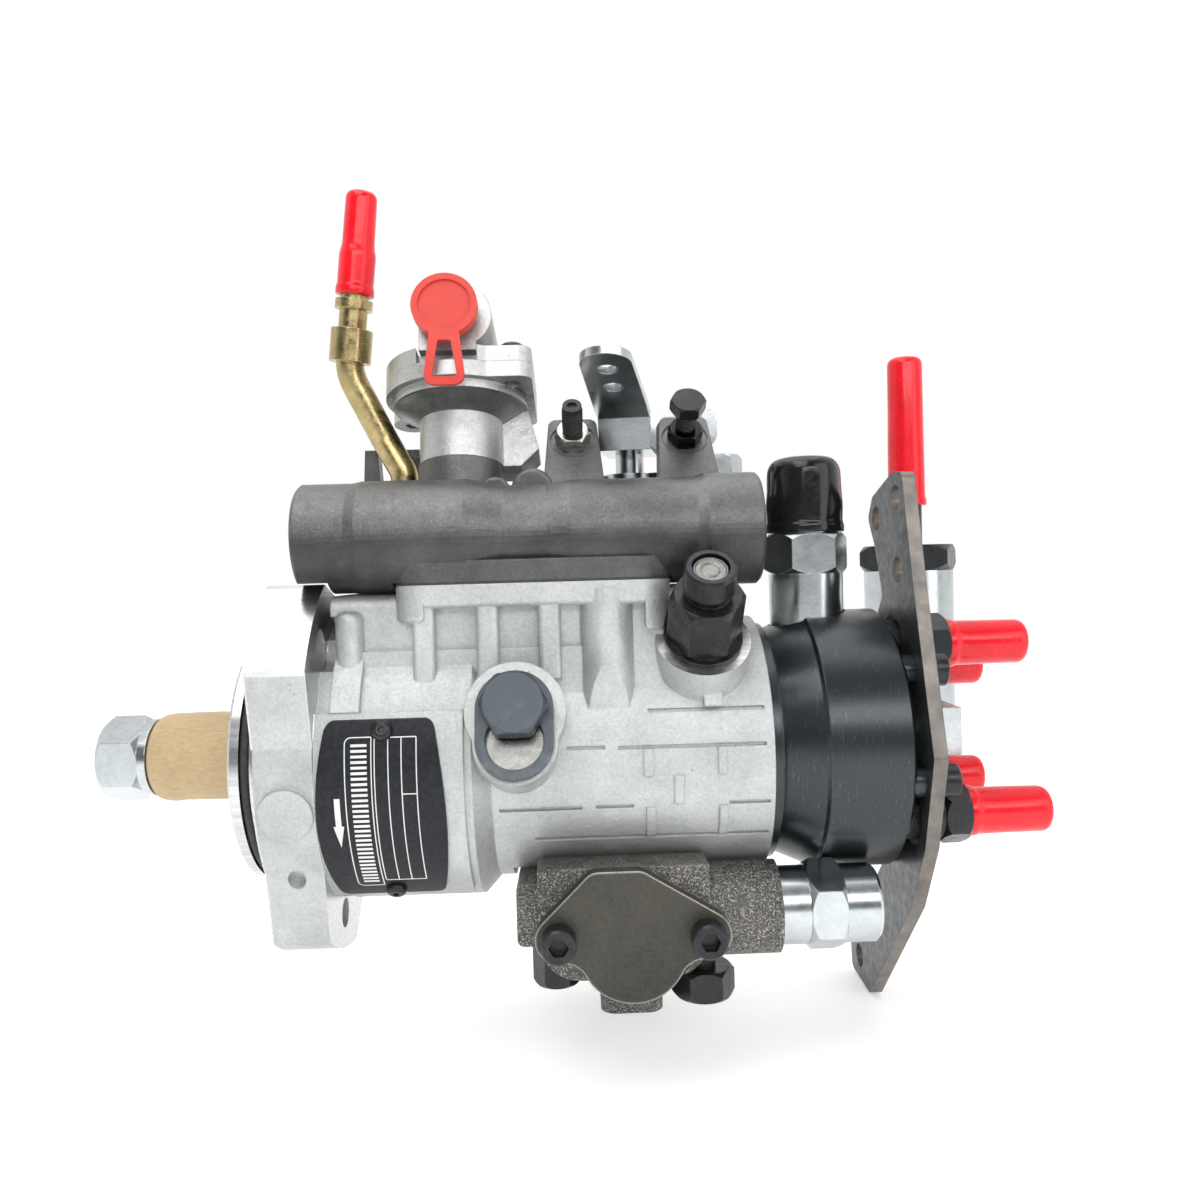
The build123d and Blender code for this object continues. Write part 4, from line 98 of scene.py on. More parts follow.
# ---------------------------------------------------------------- node graphs
class Graph:
    """A material's node tree, with short calls for the nodes that the finishes share."""

    def __init__(self, name: str) -> None:
        """Starts a tree with a Principled shader on its output.

        Args:
            name: The material's name.
        """
        self.material = bpy.data.materials.new(name)
        self.material.use_nodes = True
        self.tree = self.material.node_tree
        self.tree.nodes.clear()
        self.output = self.tree.nodes.new("ShaderNodeOutputMaterial")
        self.shader = self.tree.nodes.new("ShaderNodeBsdfPrincipled")
        self.link(self.shader.outputs["BSDF"], self.output.inputs["Surface"])
        self.position = self.tree.nodes.new("ShaderNodeTexCoord").outputs["Object"]

    def link(self, source: Socket, target: Socket) -> None:
        """Joins two sockets."""
        self.tree.links.new(source, target)

    def feed(self, target: Socket, value: object) -> None:
        """Links a socket to an input, or sets a constant on it.

        Args:
            target: The input.
            value: A socket, a number or a colour.
        """
        if isinstance(value, bpy.types.NodeSocket):
            self.link(value, target)
        elif isinstance(value, tuple) and len(value) == 3 and target.type == "RGBA":
            target.default_value = (*value, 1.0)
        else:
            target.default_value = value

    def maths(self, kind: str, first: object, second: object = 0.0, third: object = 0.0) -> Socket:
        """Adds a Math node.

        Args:
            kind: The operation's name.
            first: The first value.
            second: The second value.
            third: The third value.

        Returns:
            The result's socket.
        """
        node = self.tree.nodes.new("ShaderNodeMath")
        node.operation = kind
        for socket, value in zip(node.inputs, (first, second, third)):
            self.feed(socket, value)
        return node.outputs[0]

    def noise(self, scale: float, detail: float = 4.0, roughness: float = 0.6,
              stretch: tuple[float, float, float] = (1.0, 1.0, 1.0)) -> Socket:
        """Adds a noise texture on Object coordinates.

        Args:
            scale: Cycles per metre.
            detail: Octaves.
            roughness: How strong the finer octaves are.
            stretch: A factor for each axis.

        Returns:
            The value's socket.
        """
        mapping = self.tree.nodes.new("ShaderNodeMapping")
        mapping.inputs["Scale"].default_value = stretch
        self.link(self.position, mapping.inputs["Vector"])
        node = self.tree.nodes.new("ShaderNodeTexNoise")
        self.link(mapping.outputs["Vector"], node.inputs["Vector"])
        node.inputs["Scale"].default_value = scale
        node.inputs["Detail"].default_value = detail
        node.inputs["Roughness"].default_value = roughness
        return node.outputs["Fac"]

    def cells(self, scale: float) -> Socket:
        """Adds a Voronoi distance texture.

        Args:
            scale: Cells per metre.

        Returns:
            The distance's socket.
        """
        node = self.tree.nodes.new("ShaderNodeTexVoronoi")
        self.link(self.position, node.inputs["Vector"])
        node.inputs["Scale"].default_value = scale
        return node.outputs["Distance"]

    def between(self, value: object, low: float, high: float, start: float = 0.0,
                end: float = 1.0) -> Socket:
        """Maps a value from one range to another and clamps it.

        Args:
            value: The value.
            low: The value that gives start.
            high: The value that gives end.
            start: The result at low.
            end: The result at high.

        Returns:
            The result's socket.
        """
        node = self.tree.nodes.new("ShaderNodeMapRange")
        for name, item in (("Value", value), ("From Min", low), ("From Max", high), ("To Min", start),
                           ("To Max", end)):
            self.feed(node.inputs[name], item)
        return node.outputs["Result"]

    def near(self, value: Socket, level: float, half: float, fade: float) -> Socket:
        """Marks where a value lies near a level.

        Args:
            value: The value.
            level: The level.
            half: How far from the level the mask is still full.
            fade: How much further it fades out.

        Returns:
            The mask's socket.
        """
        return self.both(self.between(value, level - half - fade, level - half),
                         self.between(value, level + half, level + half + fade, 1.0, 0.0))

    def both(self, *masks: Socket) -> Socket:
        """Multiplies masks, so that a place counts only where all of them do."""
        result = masks[0]
        for mask in masks[1:]:
            result = self.maths("MULTIPLY", result, mask)
        return result

    def either(self, *masks: Socket) -> Socket:
        """Takes the largest of several masks."""
        result = masks[0]
        for mask in masks[1:]:
            result = self.maths("MAXIMUM", result, mask)
        return result

    def blend(self, factor: object, first: object, second: object) -> Socket:
        """Mixes two colours.

        Args:
            factor: 0 for the first, 1 for the second.
            first: A colour or socket.
            second: A colour or socket.

        Returns:
            The colour's socket.
        """
        node = self.tree.nodes.new("ShaderNodeMix")
        node.data_type = "RGBA"
        self.feed(node.inputs["Factor"], factor)
        self.feed(node.inputs[6], first)
        self.feed(node.inputs[7], second)
        return node.outputs[2]

    def blend_normals(self, factor: object, first: Socket, second: Socket) -> Socket:
        """Mixes two normals.

        Args:
            factor: 0 for the first, 1 for the second.
            first: A normal.
            second: A normal.

        Returns:
            The normal's socket.
        """
        node = self.tree.nodes.new("ShaderNodeMix")
        node.data_type = "VECTOR"
        self.feed(node.inputs["Factor"], factor)
        self.link(first, node.inputs[4])
        self.link(second, node.inputs[5])
        return node.outputs[1]

    def axes(self) -> tuple[Socket, Socket, Socket]:
        """Splits the position into its X, Y and Z sockets."""
        node = self.tree.nodes.new("ShaderNodeSeparateXYZ")
        self.link(self.position, node.inputs[0])
        return node.outputs[0], node.outputs[1], node.outputs[2]

    def facing(self) -> tuple[Socket, Socket, Socket]:
        """Splits the surface's own normal into its X, Y and Z sockets."""
        node = self.tree.nodes.new("ShaderNodeSeparateXYZ")
        self.link(self.tree.nodes.new("ShaderNodeNewGeometry").outputs["True Normal"], node.inputs[0])
        return node.outputs[0], node.outputs[1], node.outputs[2]

    def soft_edge(self, radius: float) -> tuple[Socket, Socket]:
        """Rounds the edges in the shading.

        The edge mask grows with the angle between the rounded normal and the surface's own; it marks
        rubbed edges, and on plated metal a painted highlight.

        Args:
            radius: The edge's radius.

        Returns:
            The rounded normal and the wear mask.
        """
        bevel = self.tree.nodes.new("ShaderNodeBevel")
        bevel.samples = 4
        bevel.inputs["Radius"].default_value = radius
        own = self.tree.nodes.new("ShaderNodeNewGeometry").outputs["Normal"]
        dot = self.tree.nodes.new("ShaderNodeVectorMath")
        dot.operation = "DOT_PRODUCT"
        self.link(bevel.outputs["Normal"], dot.inputs[0])
        self.link(own, dot.inputs[1])
        return bevel.outputs["Normal"], self.between(dot.outputs["Value"], 0.96, 0.78)

    def bump(self, height: object, distance: float, strength: float = 1.0,
             under: Socket | None = None) -> Socket:
        """Adds a Bump node.

        Args:
            height: The height's socket.
            distance: The relief in metres.
            strength: How much of it shows.
            under: The normal that it starts from.

        Returns:
            The normal's socket.
        """
        node = self.tree.nodes.new("ShaderNodeBump")
        node.inputs["Distance"].default_value = distance
        node.inputs["Strength"].default_value = strength
        self.feed(node.inputs["Height"], height)
        if under is not None:
            self.link(under, node.inputs["Normal"])
        return node.outputs["Normal"]

    def radius_from(self, across: Direction, centre: tuple[float, float, float]) -> Socket:
        """Gives the distance from an axis.

        Args:
            across: The axis's direction.
            centre: A point on it.

        Returns:
            The distance's socket.
        """
        parts = [self.maths("SUBTRACT", socket, centre[i])
                 for i, socket in enumerate(self.axes()) if i != across.value]
        squares = [self.maths("MULTIPLY", part, part) for part in parts]
        return self.maths("SQRT", self.maths("ADD", *squares))

    def waves(self, value: Socket, pitch: float) -> Socket:
        """Gives the sine of a distance, one cycle for each pitch."""
        return self.maths("SINE", self.maths("MULTIPLY", value, 2 * math.pi / pitch))

    def dress(self, **sockets: object) -> bpy.types.Material:
        """Sets the shader's inputs.

        Args:
            **sockets: Input names with underscores for spaces, and their values.

        Returns:
            The finished material.
        """
        for name, value in sockets.items():
            self.feed(self.shader.inputs[name.replace("_", " ")], value)
        return self.material


# ---------------------------------------------------------------- finishes
@dataclass(frozen=True)
class CastMetal:
    """Sand-cast or blasted metal: a fine grain, cloudy tone, small pits darkened with painted shade, and
    rubbed edges.
    """

    name: str
    light: Colour
    dark: Colour
    metallic: float = 0.75
    roughness: float = 0.46
    grain: float = 0.00012
    grain_scale: float = 1500.0
    edge_radius: float = 0.0007
    worn: Colour = (0.62, 0.61, 0.58)
    wear: float = 0.12
    bare_from: float = 0.4
    cloud_scale: float = 38.0
    dent_scale: float = 170.0
    pit_field_scale: float = 210.0
    rub_scale: float = 160.0
    gloss_scale: float = 420.0

    def graph(self) -> tuple[Graph, Socket, Socket, Socket]:
        """Builds the cast surface.

        Returns:
            The graph with the sockets of its colour, roughness and normal.
        """
        graph = Graph(self.name)
        rounded, edge = graph.soft_edge(self.edge_radius)
        cloud = graph.noise(self.cloud_scale, 5.0, 0.62)
        speck = graph.noise(self.grain_scale * 0.8, 2.0, 0.5)
        tone = graph.between(graph.maths("ADD", cloud, graph.maths("MULTIPLY", speck, 0.55)), 0.52, 1.02)
        colour = graph.blend(tone, self.dark, self.light)
        pits = graph.between(graph.cells(self.grain_scale * 0.32), 0.02, 0.16, 1.0, 0.0)
        rare = graph.between(graph.noise(self.pit_field_scale, 3.0), 0.56, 0.66)
        holes = graph.maths("MULTIPLY", pits, rare)
        # Painted shade: the pits are darkened towards a quarter of the dark tone, as the shadow inside
        # each hole.
        pit_shade_colour = tuple(0.25 * c for c in self.dark)
        colour = graph.blend(graph.maths("MULTIPLY", holes, 0.55), colour, pit_shade_colour)
        rubbed = graph.both(edge, graph.between(graph.noise(self.rub_scale, 4.0, 0.65), self.bare_from,
                                                self.bare_from + 0.22))
        colour = graph.blend(graph.maths("MULTIPLY", rubbed, self.wear), colour, self.worn)
        rough = graph.between(graph.noise(self.gloss_scale, 3.0), 0.3, 0.7, self.roughness - 0.07,
                              self.roughness + 0.1)
        normal = graph.bump(graph.noise(self.grain_scale, 3.0, 0.65), self.grain, 1.0, rounded)
        normal = graph.bump(graph.noise(self.dent_scale, 3.0, 0.5), self.grain * 2.2, 0.8, normal)
        normal = graph.bump(graph.maths("MULTIPLY", holes, -1.0), self.grain * 1.5, 0.8, normal)
        return graph, colour, rough, normal

    def build(self) -> bpy.types.Material:
        """Makes the material."""
        graph, colour, rough, normal = self.graph()
        return graph.dress(Base_Color=colour, Roughness=rough, Normal=normal, Metallic=self.metallic)


@dataclass(frozen=True)
class MachinedCasting(CastMetal):
    """The body casting: cast all over, with bright turned or milled faces where other parts sit."""

    bright: Colour = (0.62, 0.625, 0.62)
    front_x: float = 0.0006
    flange_back_x: float = 0.017
    lobe_radius: float = 0.0563
    lobe_bottom_z: float = 0.030
    boss_faces: tuple = ((46.0, 0.0500),)
    boss_from_x: float = 0.055
    plane_half: float = 0.0001
    boss_half: float = 0.00025
    fade: float = 0.0001
    turning_pitch: float = 0.0006
    turning_depth: float = 0.000008

    def machined(self, graph: Graph) -> Socket:
        """Marks the machined faces.

        They are the spigot and the flange's front, the flange's rear face, the rim of its near upper
        lobe, and the boss faces, which lie at a set distance from the shaft along their own angle.

        Args:
            graph: The material's graph.

        Returns:
            The mask's socket.
        """
        along, across, up = graph.axes()
        front = graph.between(along, self.front_x - 0.0003, self.front_x, 1.0, 0.0)
        rear = graph.near(along, self.flange_back_x, self.plane_half, self.fade)
        radius = graph.radius_from(Direction.X, (0.0, 0.0, 0.0))
        rim = graph.both(graph.between(radius, self.lobe_radius - 0.0004, self.lobe_radius),
                         graph.between(up, self.lobe_bottom_z, self.lobe_bottom_z + 0.0005),
                         graph.between(across, 0.0, 0.001, 1.0, 0.0),
                         graph.between(along, self.flange_back_x, self.flange_back_x + 0.0002, 1.0, 0.0))
        masks = [front, rear, rim]
        _, facing_across, facing_up = graph.facing()
        for angle, reach in self.boss_faces:
            turn = math.radians(angle)
            out = graph.maths("SUBTRACT", graph.maths("MULTIPLY", up, math.sin(turn)),
                              graph.maths("MULTIPLY", across, math.cos(turn)))
            level = graph.maths("SUBTRACT", graph.maths("MULTIPLY", facing_up, math.sin(turn)),
                                graph.maths("MULTIPLY", facing_across, math.cos(turn)))
            flat = graph.both(graph.between(level, 0.97, 0.985),
                              graph.near(out, reach, self.boss_half, self.fade),
                              graph.between(along, self.boss_from_x, self.boss_from_x + self.fade))
            masks.append(flat)
        return graph.either(*masks)

    def build(self) -> bpy.types.Material:
        """Makes the material."""
        graph, colour, rough, normal = self.graph()
        bright = self.machined(graph)
        lines = graph.waves(graph.radius_from(Direction.X, (0.0, 0.0, 0.0)), self.turning_pitch)
        streak = graph.between(graph.noise(900.0, 2.0, 0.5, (0.06, 1.0, 1.0)), 0.35, 0.65)
        shine = graph.blend(streak, self.bright, tuple(0.78 * c for c in self.bright))
        cast_share = graph.maths("SUBTRACT", 1.0, bright)
        return graph.dress(
            Base_Color=graph.blend(bright, colour, shine),
            Roughness=graph.maths("ADD", graph.maths("MULTIPLY", rough, cast_share),
                                  graph.maths("MULTIPLY", bright, 0.26)),
            Metallic=graph.between(bright, 0.0, 1.0, self.metallic, 1.0),
            Normal=graph.blend_normals(bright, normal, graph.bump(lines, self.turning_depth, 0.5)))


@dataclass(frozen=True)
class PaintedShadeCasting(CastMetal):
    """A casting with painted shade: darker on the faces that look down, from a ragged border on."""

    # shade is the painted shade colour on the faces that look down; shade_share, shade_from and shade_to
    # set how much of it there is and where it starts and ends.
    shade: Colour = (0.12, 0.11, 0.10)
    shade_share: float = 0.6
    shade_from: float = 0.15
    shade_to: float = -0.75

    def build(self) -> bpy.types.Material:
        """Makes the material."""
        graph, colour, rough, normal = self.graph()
        # Painted shade: the colour turns towards the shade colour where the surface's normal looks down,
        # behind a ragged border.
        ragged = graph.maths("MULTIPLY_ADD", graph.noise(90.0, 3.0), 0.24, -0.12)
        turned = graph.maths("ADD", graph.facing()[2], ragged)
        down = graph.between(turned, self.shade_from, self.shade_to)
        cloud = graph.between(graph.noise(60.0, 4.0), 0.3, 0.7, 0.6, 1.0)
        share = graph.maths("MULTIPLY", graph.both(down, cloud), self.shade_share)
        colour = graph.blend(share, colour, self.shade)
        return graph.dress(Base_Color=colour, Roughness=rough, Normal=normal, Metallic=self.metallic)


@dataclass(frozen=True)
class SparkleIron(CastMetal):
    """Rough cast iron: dark, coarse, with blasted grains whose specks are lightened as painted glints."""

    sparkle: Colour = (0.62, 0.60, 0.54)

    def build(self) -> bpy.types.Material:
        """Makes the material."""
        graph, colour, rough, normal = self.graph()
        grains = graph.between(graph.noise(1900.0, 2.0, 0.6), 0.49, 0.61)
        picked = graph.between(graph.noise(300.0, 3.0, 0.6), 0.30, 0.55, 0.35, 1.0)
        glint_specks = graph.both(grains, picked)
        # Painted glints: the picked grains are lightened towards the sparkle colour.
        colour = graph.blend(graph.maths("MULTIPLY", glint_specks, 0.62), colour, self.sparkle)
        normal = graph.bump(grains, 0.00022, 0.8, normal)
        return graph.dress(Base_Color=colour, Roughness=rough, Normal=normal, Metallic=self.metallic)


@dataclass(frozen=True)
class PlatedMetal:
    """Plated or ground steel: a mottled sheen with fine tool lines, and edges lightened as a painted
    highlight.
    """

    name: str
    light: Colour
    dark: Colour
    roughness: float = 0.28
    metallic: float = 1.0
    lines: Direction | None = None
    mottle: float = 260.0
    black_beyond_x: float | None = None
    blotch: float = 0.1

    def build(self) -> bpy.types.Material:
        """Makes the material."""
        graph = Graph(self.name)
        rounded, edge = graph.soft_edge(0.0004)
        cloud = graph.noise(self.mottle, 4.0, 0.6)
        spangle = graph.between(graph.cells(self.mottle * 5.0), 0.1, 0.7)
        tone = graph.between(graph.maths("ADD", cloud, graph.maths("MULTIPLY", spangle, 0.2)), 0.38, 0.78)
        colour = graph.blend(tone, self.dark, self.light)
        # Painted highlight: every edge is lightened towards a colour brighter than the light tone.
        colour = graph.blend(graph.maths("MULTIPLY", edge, 0.5), colour,
                             tuple(min(1.0, 1.3 * c) for c in self.light))
        if self.black_beyond_x is not None:
            beyond = graph.between(graph.axes()[0], self.black_beyond_x, self.black_beyond_x + 0.001)
            colour = graph.blend(beyond, colour, (0.025, 0.026, 0.03))
        rough = graph.between(graph.noise(self.mottle * 1.7, 4.0), 0.3, 0.7,
                              self.roughness - 0.8 * self.blotch, self.roughness + 1.2 * self.blotch)
        stretch = [1.0, 1.0, 1.0]
        if self.lines is not None:
            stretch[self.lines.value] = 0.03
        scratches = graph.noise(2600.0, 3.0, 0.6, tuple(stretch))
        normal = graph.bump(scratches, 0.00002, 0.6, rounded)
        normal = graph.bump(graph.noise(500.0, 2.0), 0.00003, 0.5, normal)
        return graph.dress(Base_Color=colour, Roughness=rough, Normal=normal, Metallic=self.metallic)


@dataclass(frozen=True)
class BlackSteel:
    """Phosphated or blacked steel: nearly black, oily, with rubbed edges and fine marks."""

    name: str
    base: Colour = (0.014, 0.015, 0.018)
    rubbed: Colour = (0.085, 0.082, 0.08)
    edge: Colour = (0.16, 0.155, 0.15)
    roughness: float = 0.33
    metallic: float = 0.55
    turned_round: Direction | None = None
    mottle: float = 0.5
    cut_edge: Colour | None = None

    def build(self) -> bpy.types.Material:
        """Makes the material."""
        graph = Graph(self.name)
        rounded, edge = graph.soft_edge(0.0005)
        wear = graph.between(graph.noise(150.0, 6.0, 0.7), 0.52, 0.78)
        fine = graph.between(graph.noise(1700.0, 3.0, 0.6), 0.48, 0.78)
        colour = graph.blend(graph.maths("MULTIPLY", wear, self.mottle), self.base, self.rubbed)
        colour = graph.blend(graph.maths("MULTIPLY", fine, 0.2), colour, self.rubbed)
        scuffed = graph.both(edge, graph.between(graph.noise(300.0, 4.0, 0.7), 0.38, 0.62))
        colour = graph.blend(graph.maths("MULTIPLY", scuffed, 0.55), colour, self.edge)
        if self.cut_edge is not None:
            cut = graph.between(graph.maths("ABSOLUTE", graph.facing()[0]), 0.6, 0.4)
            patchy = graph.between(graph.noise(120.0, 4.0, 0.6), 0.3, 0.7, 0.35, 1.0)
            colour = graph.blend(graph.both(cut, patchy), colour, self.cut_edge)
        rough = graph.between(graph.noise(330.0, 4.0), 0.3, 0.7, self.roughness - 0.18 * self.mottle,
                              self.roughness + 0.26 * self.mottle)
        normal = graph.bump(graph.noise(1900.0, 3.0, 0.6), 0.00003, 0.6, rounded)
        normal = graph.bump(graph.noise(260.0, 2.0), 0.00005, 0.4, normal)
        if self.turned_round is not None:
            stretch = [1.0, 1.0, 1.0]
            stretch[self.turned_round.value] = 12.0
            lines = graph.noise(260.0, 3.0, 0.6, tuple(stretch))
            colour = graph.blend(graph.between(lines, 0.62, 0.72, 0.0, 0.35), colour, self.edge)
            normal = graph.bump(lines, 0.00002, 0.7, normal)
        return graph.dress(Base_Color=colour, Roughness=rough, Normal=normal, Metallic=self.metallic,
                           Coat_Weight=0.15, Coat_Roughness=0.2)


@dataclass(frozen=True)
class Vinyl:
    """Soft dipped vinyl: glossy, slightly wavy, with faint dust."""

    name: str
    colour: Colour
    deep: Colour
    roughness: float = 0.2
    waves: float = 0.00022

    def build(self) -> bpy.types.Material:
        """Makes the material."""
        graph = Graph(self.name)
        tone = graph.between(graph.noise(90.0, 3.0), 0.35, 0.65)
        colour = graph.blend(tone, self.deep, self.colour)
        dust = graph.noise(600.0, 4.0, 0.7)
        rough = graph.between(dust, 0.4, 0.75, self.roughness, self.roughness + 0.14)
        normal = graph.bump(graph.noise(120.0, 2.0, 0.4), self.waves, 0.55)
        normal = graph.bump(graph.noise(2200.0, 2.0), 0.00001, 0.5, normal)
        return graph.dress(Base_Color=colour, Roughness=rough, Normal=normal, Coat_Weight=0.15,
                           Coat_Roughness=0.06, Specular_IOR_Level=0.32)


@dataclass(frozen=True)
class Card:
    """Wound card: pale brown fibres that run round the tube, with stains."""

    name: str
    light: Colour
    dark: Colour

    def build(self) -> bpy.types.Material:
        """Makes the material."""
        graph = Graph(self.name)
        fibre = graph.noise(1500.0, 4.0, 0.7, (0.25, 1.0, 1.0))
        stain = graph.between(graph.noise(95.0, 5.0, 0.6), 0.42, 0.68)
        colour = graph.blend(graph.between(fibre, 0.3, 0.7), self.dark, self.light)
        stained = tuple(0.75 * c for c in self.dark)
        colour = graph.blend(graph.maths("MULTIPLY", stain, 0.35), colour, stained)
        normal = graph.bump(fibre, 0.0001, 0.8)
        normal = graph.bump(graph.noise(130.0, 3.0), 0.0003, 0.5, normal)
        return graph.dress(Base_Color=colour, Roughness=0.78, Normal=normal, Sheen_Weight=0.15)


@dataclass(frozen=True)
class Rubber:
    """Matt black rubber, gasket sheet or enamel with a fine grain."""

    name: str
    colour: Colour = (0.018, 0.018, 0.018)
    roughness: float = 0.6
    specular: float = 0.5

    def build(self) -> bpy.types.Material:
        """Makes the material."""
        graph = Graph(self.name)
        tone = graph.between(graph.noise(700.0, 3.0), 0.35, 0.7)
        colour = graph.blend(tone, self.colour, tuple(2.4 * c for c in self.colour))
        return graph.dress(Base_Color=colour, Roughness=self.roughness, Specular_IOR_Level=self.specular,
                           Normal=graph.bump(graph.noise(2600.0), 0.00003))


def finishes() -> dict[Finish, bpy.types.Material]:
    """Builds every finish once.

    Returns:
        The materials by finish.
    """
    recipes = {
        Finish.CAST_ALUMINIUM: MachinedCasting(
            "cast_aluminium", (0.555, 0.573, 0.563), (0.36, 0.372, 0.365), 0.62, grain=0.00017,
            worn=(0.70, 0.71, 0.70), wear=0.3),
        # The boost and cover castings carry painted shade on the faces that look down.
        Finish.BOOST_CASTING: PaintedShadeCasting(
            "boost_casting", (0.62, 0.63, 0.615), (0.40, 0.405, 0.395), 0.8, 0.36,
            worn=(0.74, 0.75, 0.74), wear=0.3, shade=(0.075, 0.078, 0.076), shade_share=0.88,
            shade_from=0.10, shade_to=-0.45),
        Finish.COVER_CASTING: PaintedShadeCasting(
            "cover_casting", (0.165, 0.168, 0.163), (0.085, 0.086, 0.083), 0.7, 0.38,
            worn=(0.45, 0.45, 0.43), wear=0.35, shade=(0.034, 0.033, 0.030), shade_share=0.92,
            shade_from=0.12, shade_to=-0.15),
        Finish.CAST_IRON: SparkleIron("cast_iron", (0.11, 0.106, 0.098), (0.03, 0.029, 0.027), 0.5, 0.42,
                                      0.0003, 900.0, wear=0.5),
        Finish.BRONZE_COVER: CastMetal(
            "bronze_cover", (0.066, 0.062, 0.05), (0.032, 0.030, 0.025), 0.5, 0.42, grain=0.00006,
            grain_scale=1700.0, edge_radius=0.0011, worn=(0.66, 0.64, 0.58), wear=1.0, bare_from=0.15),
        Finish.BLACK_STEEL: BlackSteel("black_steel"),
        Finish.BLUED_STEEL: BlackSteel("blued_steel", (0.055, 0.068, 0.078), (0.13, 0.145, 0.155),
                                       (0.28, 0.29, 0.30), 0.36),
        Finish.TURNED_BLACK: BlackSteel("turned_black", (0.040, 0.046, 0.050), (0.07, 0.077, 0.082),
                                        (0.20, 0.21, 0.22), 0.29, 0.85, Direction.X, 0.1),
        Finish.BRACKET_STEEL: BlackSteel("bracket_steel", (0.034, 0.038, 0.041), (0.08, 0.078, 0.075),
                                         (0.20, 0.155, 0.115), 0.38, 0.5, cut_edge=(0.21, 0.185, 0.16)),
        Finish.ZINC_STEEL: PlatedMetal("zinc_steel", (0.54, 0.572, 0.58), (0.46, 0.49, 0.50), 0.22,
                                       mottle=140.0, blotch=0.04),
        Finish.STOP_NUTS: PlatedMetal("stop_nuts", (0.60, 0.59, 0.56), (0.44, 0.43, 0.41), 0.2,
                                      black_beyond_x=0.110),
        Finish.YELLOW_ZINC: PlatedMetal("yellow_zinc", (0.50, 0.40, 0.20), (0.33, 0.255, 0.12), 0.24),
        Finish.GROUND_STEEL: PlatedMetal("ground_steel", (0.64, 0.64, 0.65), (0.46, 0.46, 0.47), 0.16,
                                         lines=Direction.X),
        Finish.PLAIN_STEEL: PlatedMetal("plain_steel", (0.215, 0.215, 0.205), (0.15, 0.15, 0.144), 0.26,
                                        blotch=0.05),
        Finish.BRONZE: PlatedMetal("bronze", (0.50, 0.37, 0.20), (0.34, 0.24, 0.13), 0.34),
        Finish.RED_VINYL: Vinyl("red_vinyl", (0.74, 0.008, 0.020), (0.62, 0.004, 0.011)),
        Finish.RED_DISC: Vinyl("red_disc", (0.58, 0.045, 0.03), (0.53, 0.038, 0.025), 0.5, 0.00005),
        Finish.BLACK_VINYL: Vinyl("black_vinyl", (0.010, 0.011, 0.012), (0.006, 0.006, 0.007), 0.13,
                                  0.0005),
        Finish.CARD: Card("card", (0.57, 0.43, 0.245), (0.43, 0.31, 0.165)),
        Finish.BLACK_RUBBER: Rubber("black_rubber"),
        Finish.PLATE_BLACK: Rubber("plate_black", (0.007, 0.008, 0.010), 0.42, 0.25),
        Finish.PLATE_PRINT: Vinyl("plate_print", (0.74, 0.74, 0.72), (0.62, 0.62, 0.60), 0.4, 0.00001),
    }
    return {finish: recipe.build() for finish, recipe in recipes.items()}


# ---------------------------------------------------------------- surfaces
@dataclass
class Grid:
    """A surface on a grid of points: a face joins each point to its neighbours in row and column."""

    points: np.ndarray
    wrap_rows: bool = False
    wrap_columns: bool = True
    caps: bool = True

    def faces(self, first: int) -> list[list[int]]:
        """Lists the faces.

        Args:
            first: The index that the grid's first point gets in the mesh.

        Returns:
            The corner indices of each face, with a face over each open end where the grid has caps.
        """
        rows, columns = self.points.shape[:2]
        row = np.arange(rows if self.wrap_rows else rows - 1)[:, None]
        column = np.arange(columns if self.wrap_columns else columns - 1)[None, :]
        next_row, next_column = (row + 1) % rows, (column + 1) % columns
        quads = np.stack([row * columns + column, next_row * columns + column,
                          next_row * columns + next_column, row * columns + next_column], axis=-1)
        faces = (quads.reshape(-1, 4) + first).tolist()
        if self.caps:
            faces.append(list(range(first, first + columns))[::-1])
            faces.append(list(range(first + (rows - 1) * columns, first + rows * columns)))
        return faces


def make_piece(name: str, grids: list[Grid], sharp_degrees: float = 40.0) -> bpy.types.Object:
    """Puts grids into one mesh, with its faces pointing outwards.

    Args:
        name: The piece's name.
        grids: Its surfaces.
        sharp_degrees: Edges that turn more than this stay sharp.

    Returns:
        The new object, at the origin.
    """
    faces, first = [], 0
    for grid in grids:
        faces += grid.faces(first)
        first += grid.points.shape[0] * grid.points.shape[1]
    points = np.concatenate([grid.points.reshape(-1, 3) for grid in grids])
    mesh = bpy.data.meshes.new(name)
    mesh.from_pydata(points.tolist(), [], faces)
    work = bmesh.new()
    work.from_mesh(mesh)
    bmesh.ops.recalc_face_normals(work, faces=work.faces)
    work.to_mesh(mesh)
    work.free()
    mesh.shade_smooth()
    mesh.set_sharp_from_angle(angle=math.radians(sharp_degrees))
    piece = bpy.data.objects.new(name, mesh)
    bpy.context.scene.collection.objects.link(piece)
    return piece


def axis_place(origin: tuple[float, float, float], direction: tuple[float, float, float]) -> Matrix:
    """Gives the frame whose Z axis starts at a point and runs along a direction."""
    return Matrix.Translation(origin) @ Vector(direction).to_track_quat("Z", "Y").to_matrix().to_4x4()


def radial_place(along: float, degrees: float, out: float) -> Matrix:
    """Gives the frame on a radius of the shaft: -Y is 0 degrees, +Z is 90."""
    turn = math.radians(degrees)
    outward = (0.0, -math.cos(turn), math.sin(turn))
    return axis_place((along, out * outward[1], out * outward[2]), outward)


def carry(points: np.ndarray, place: Matrix) -> np.ndarray:
    """Moves an array of points by a matrix."""
    matrix = np.array(place)
    return points @ matrix[:3, :3].T + matrix[:3, 3]


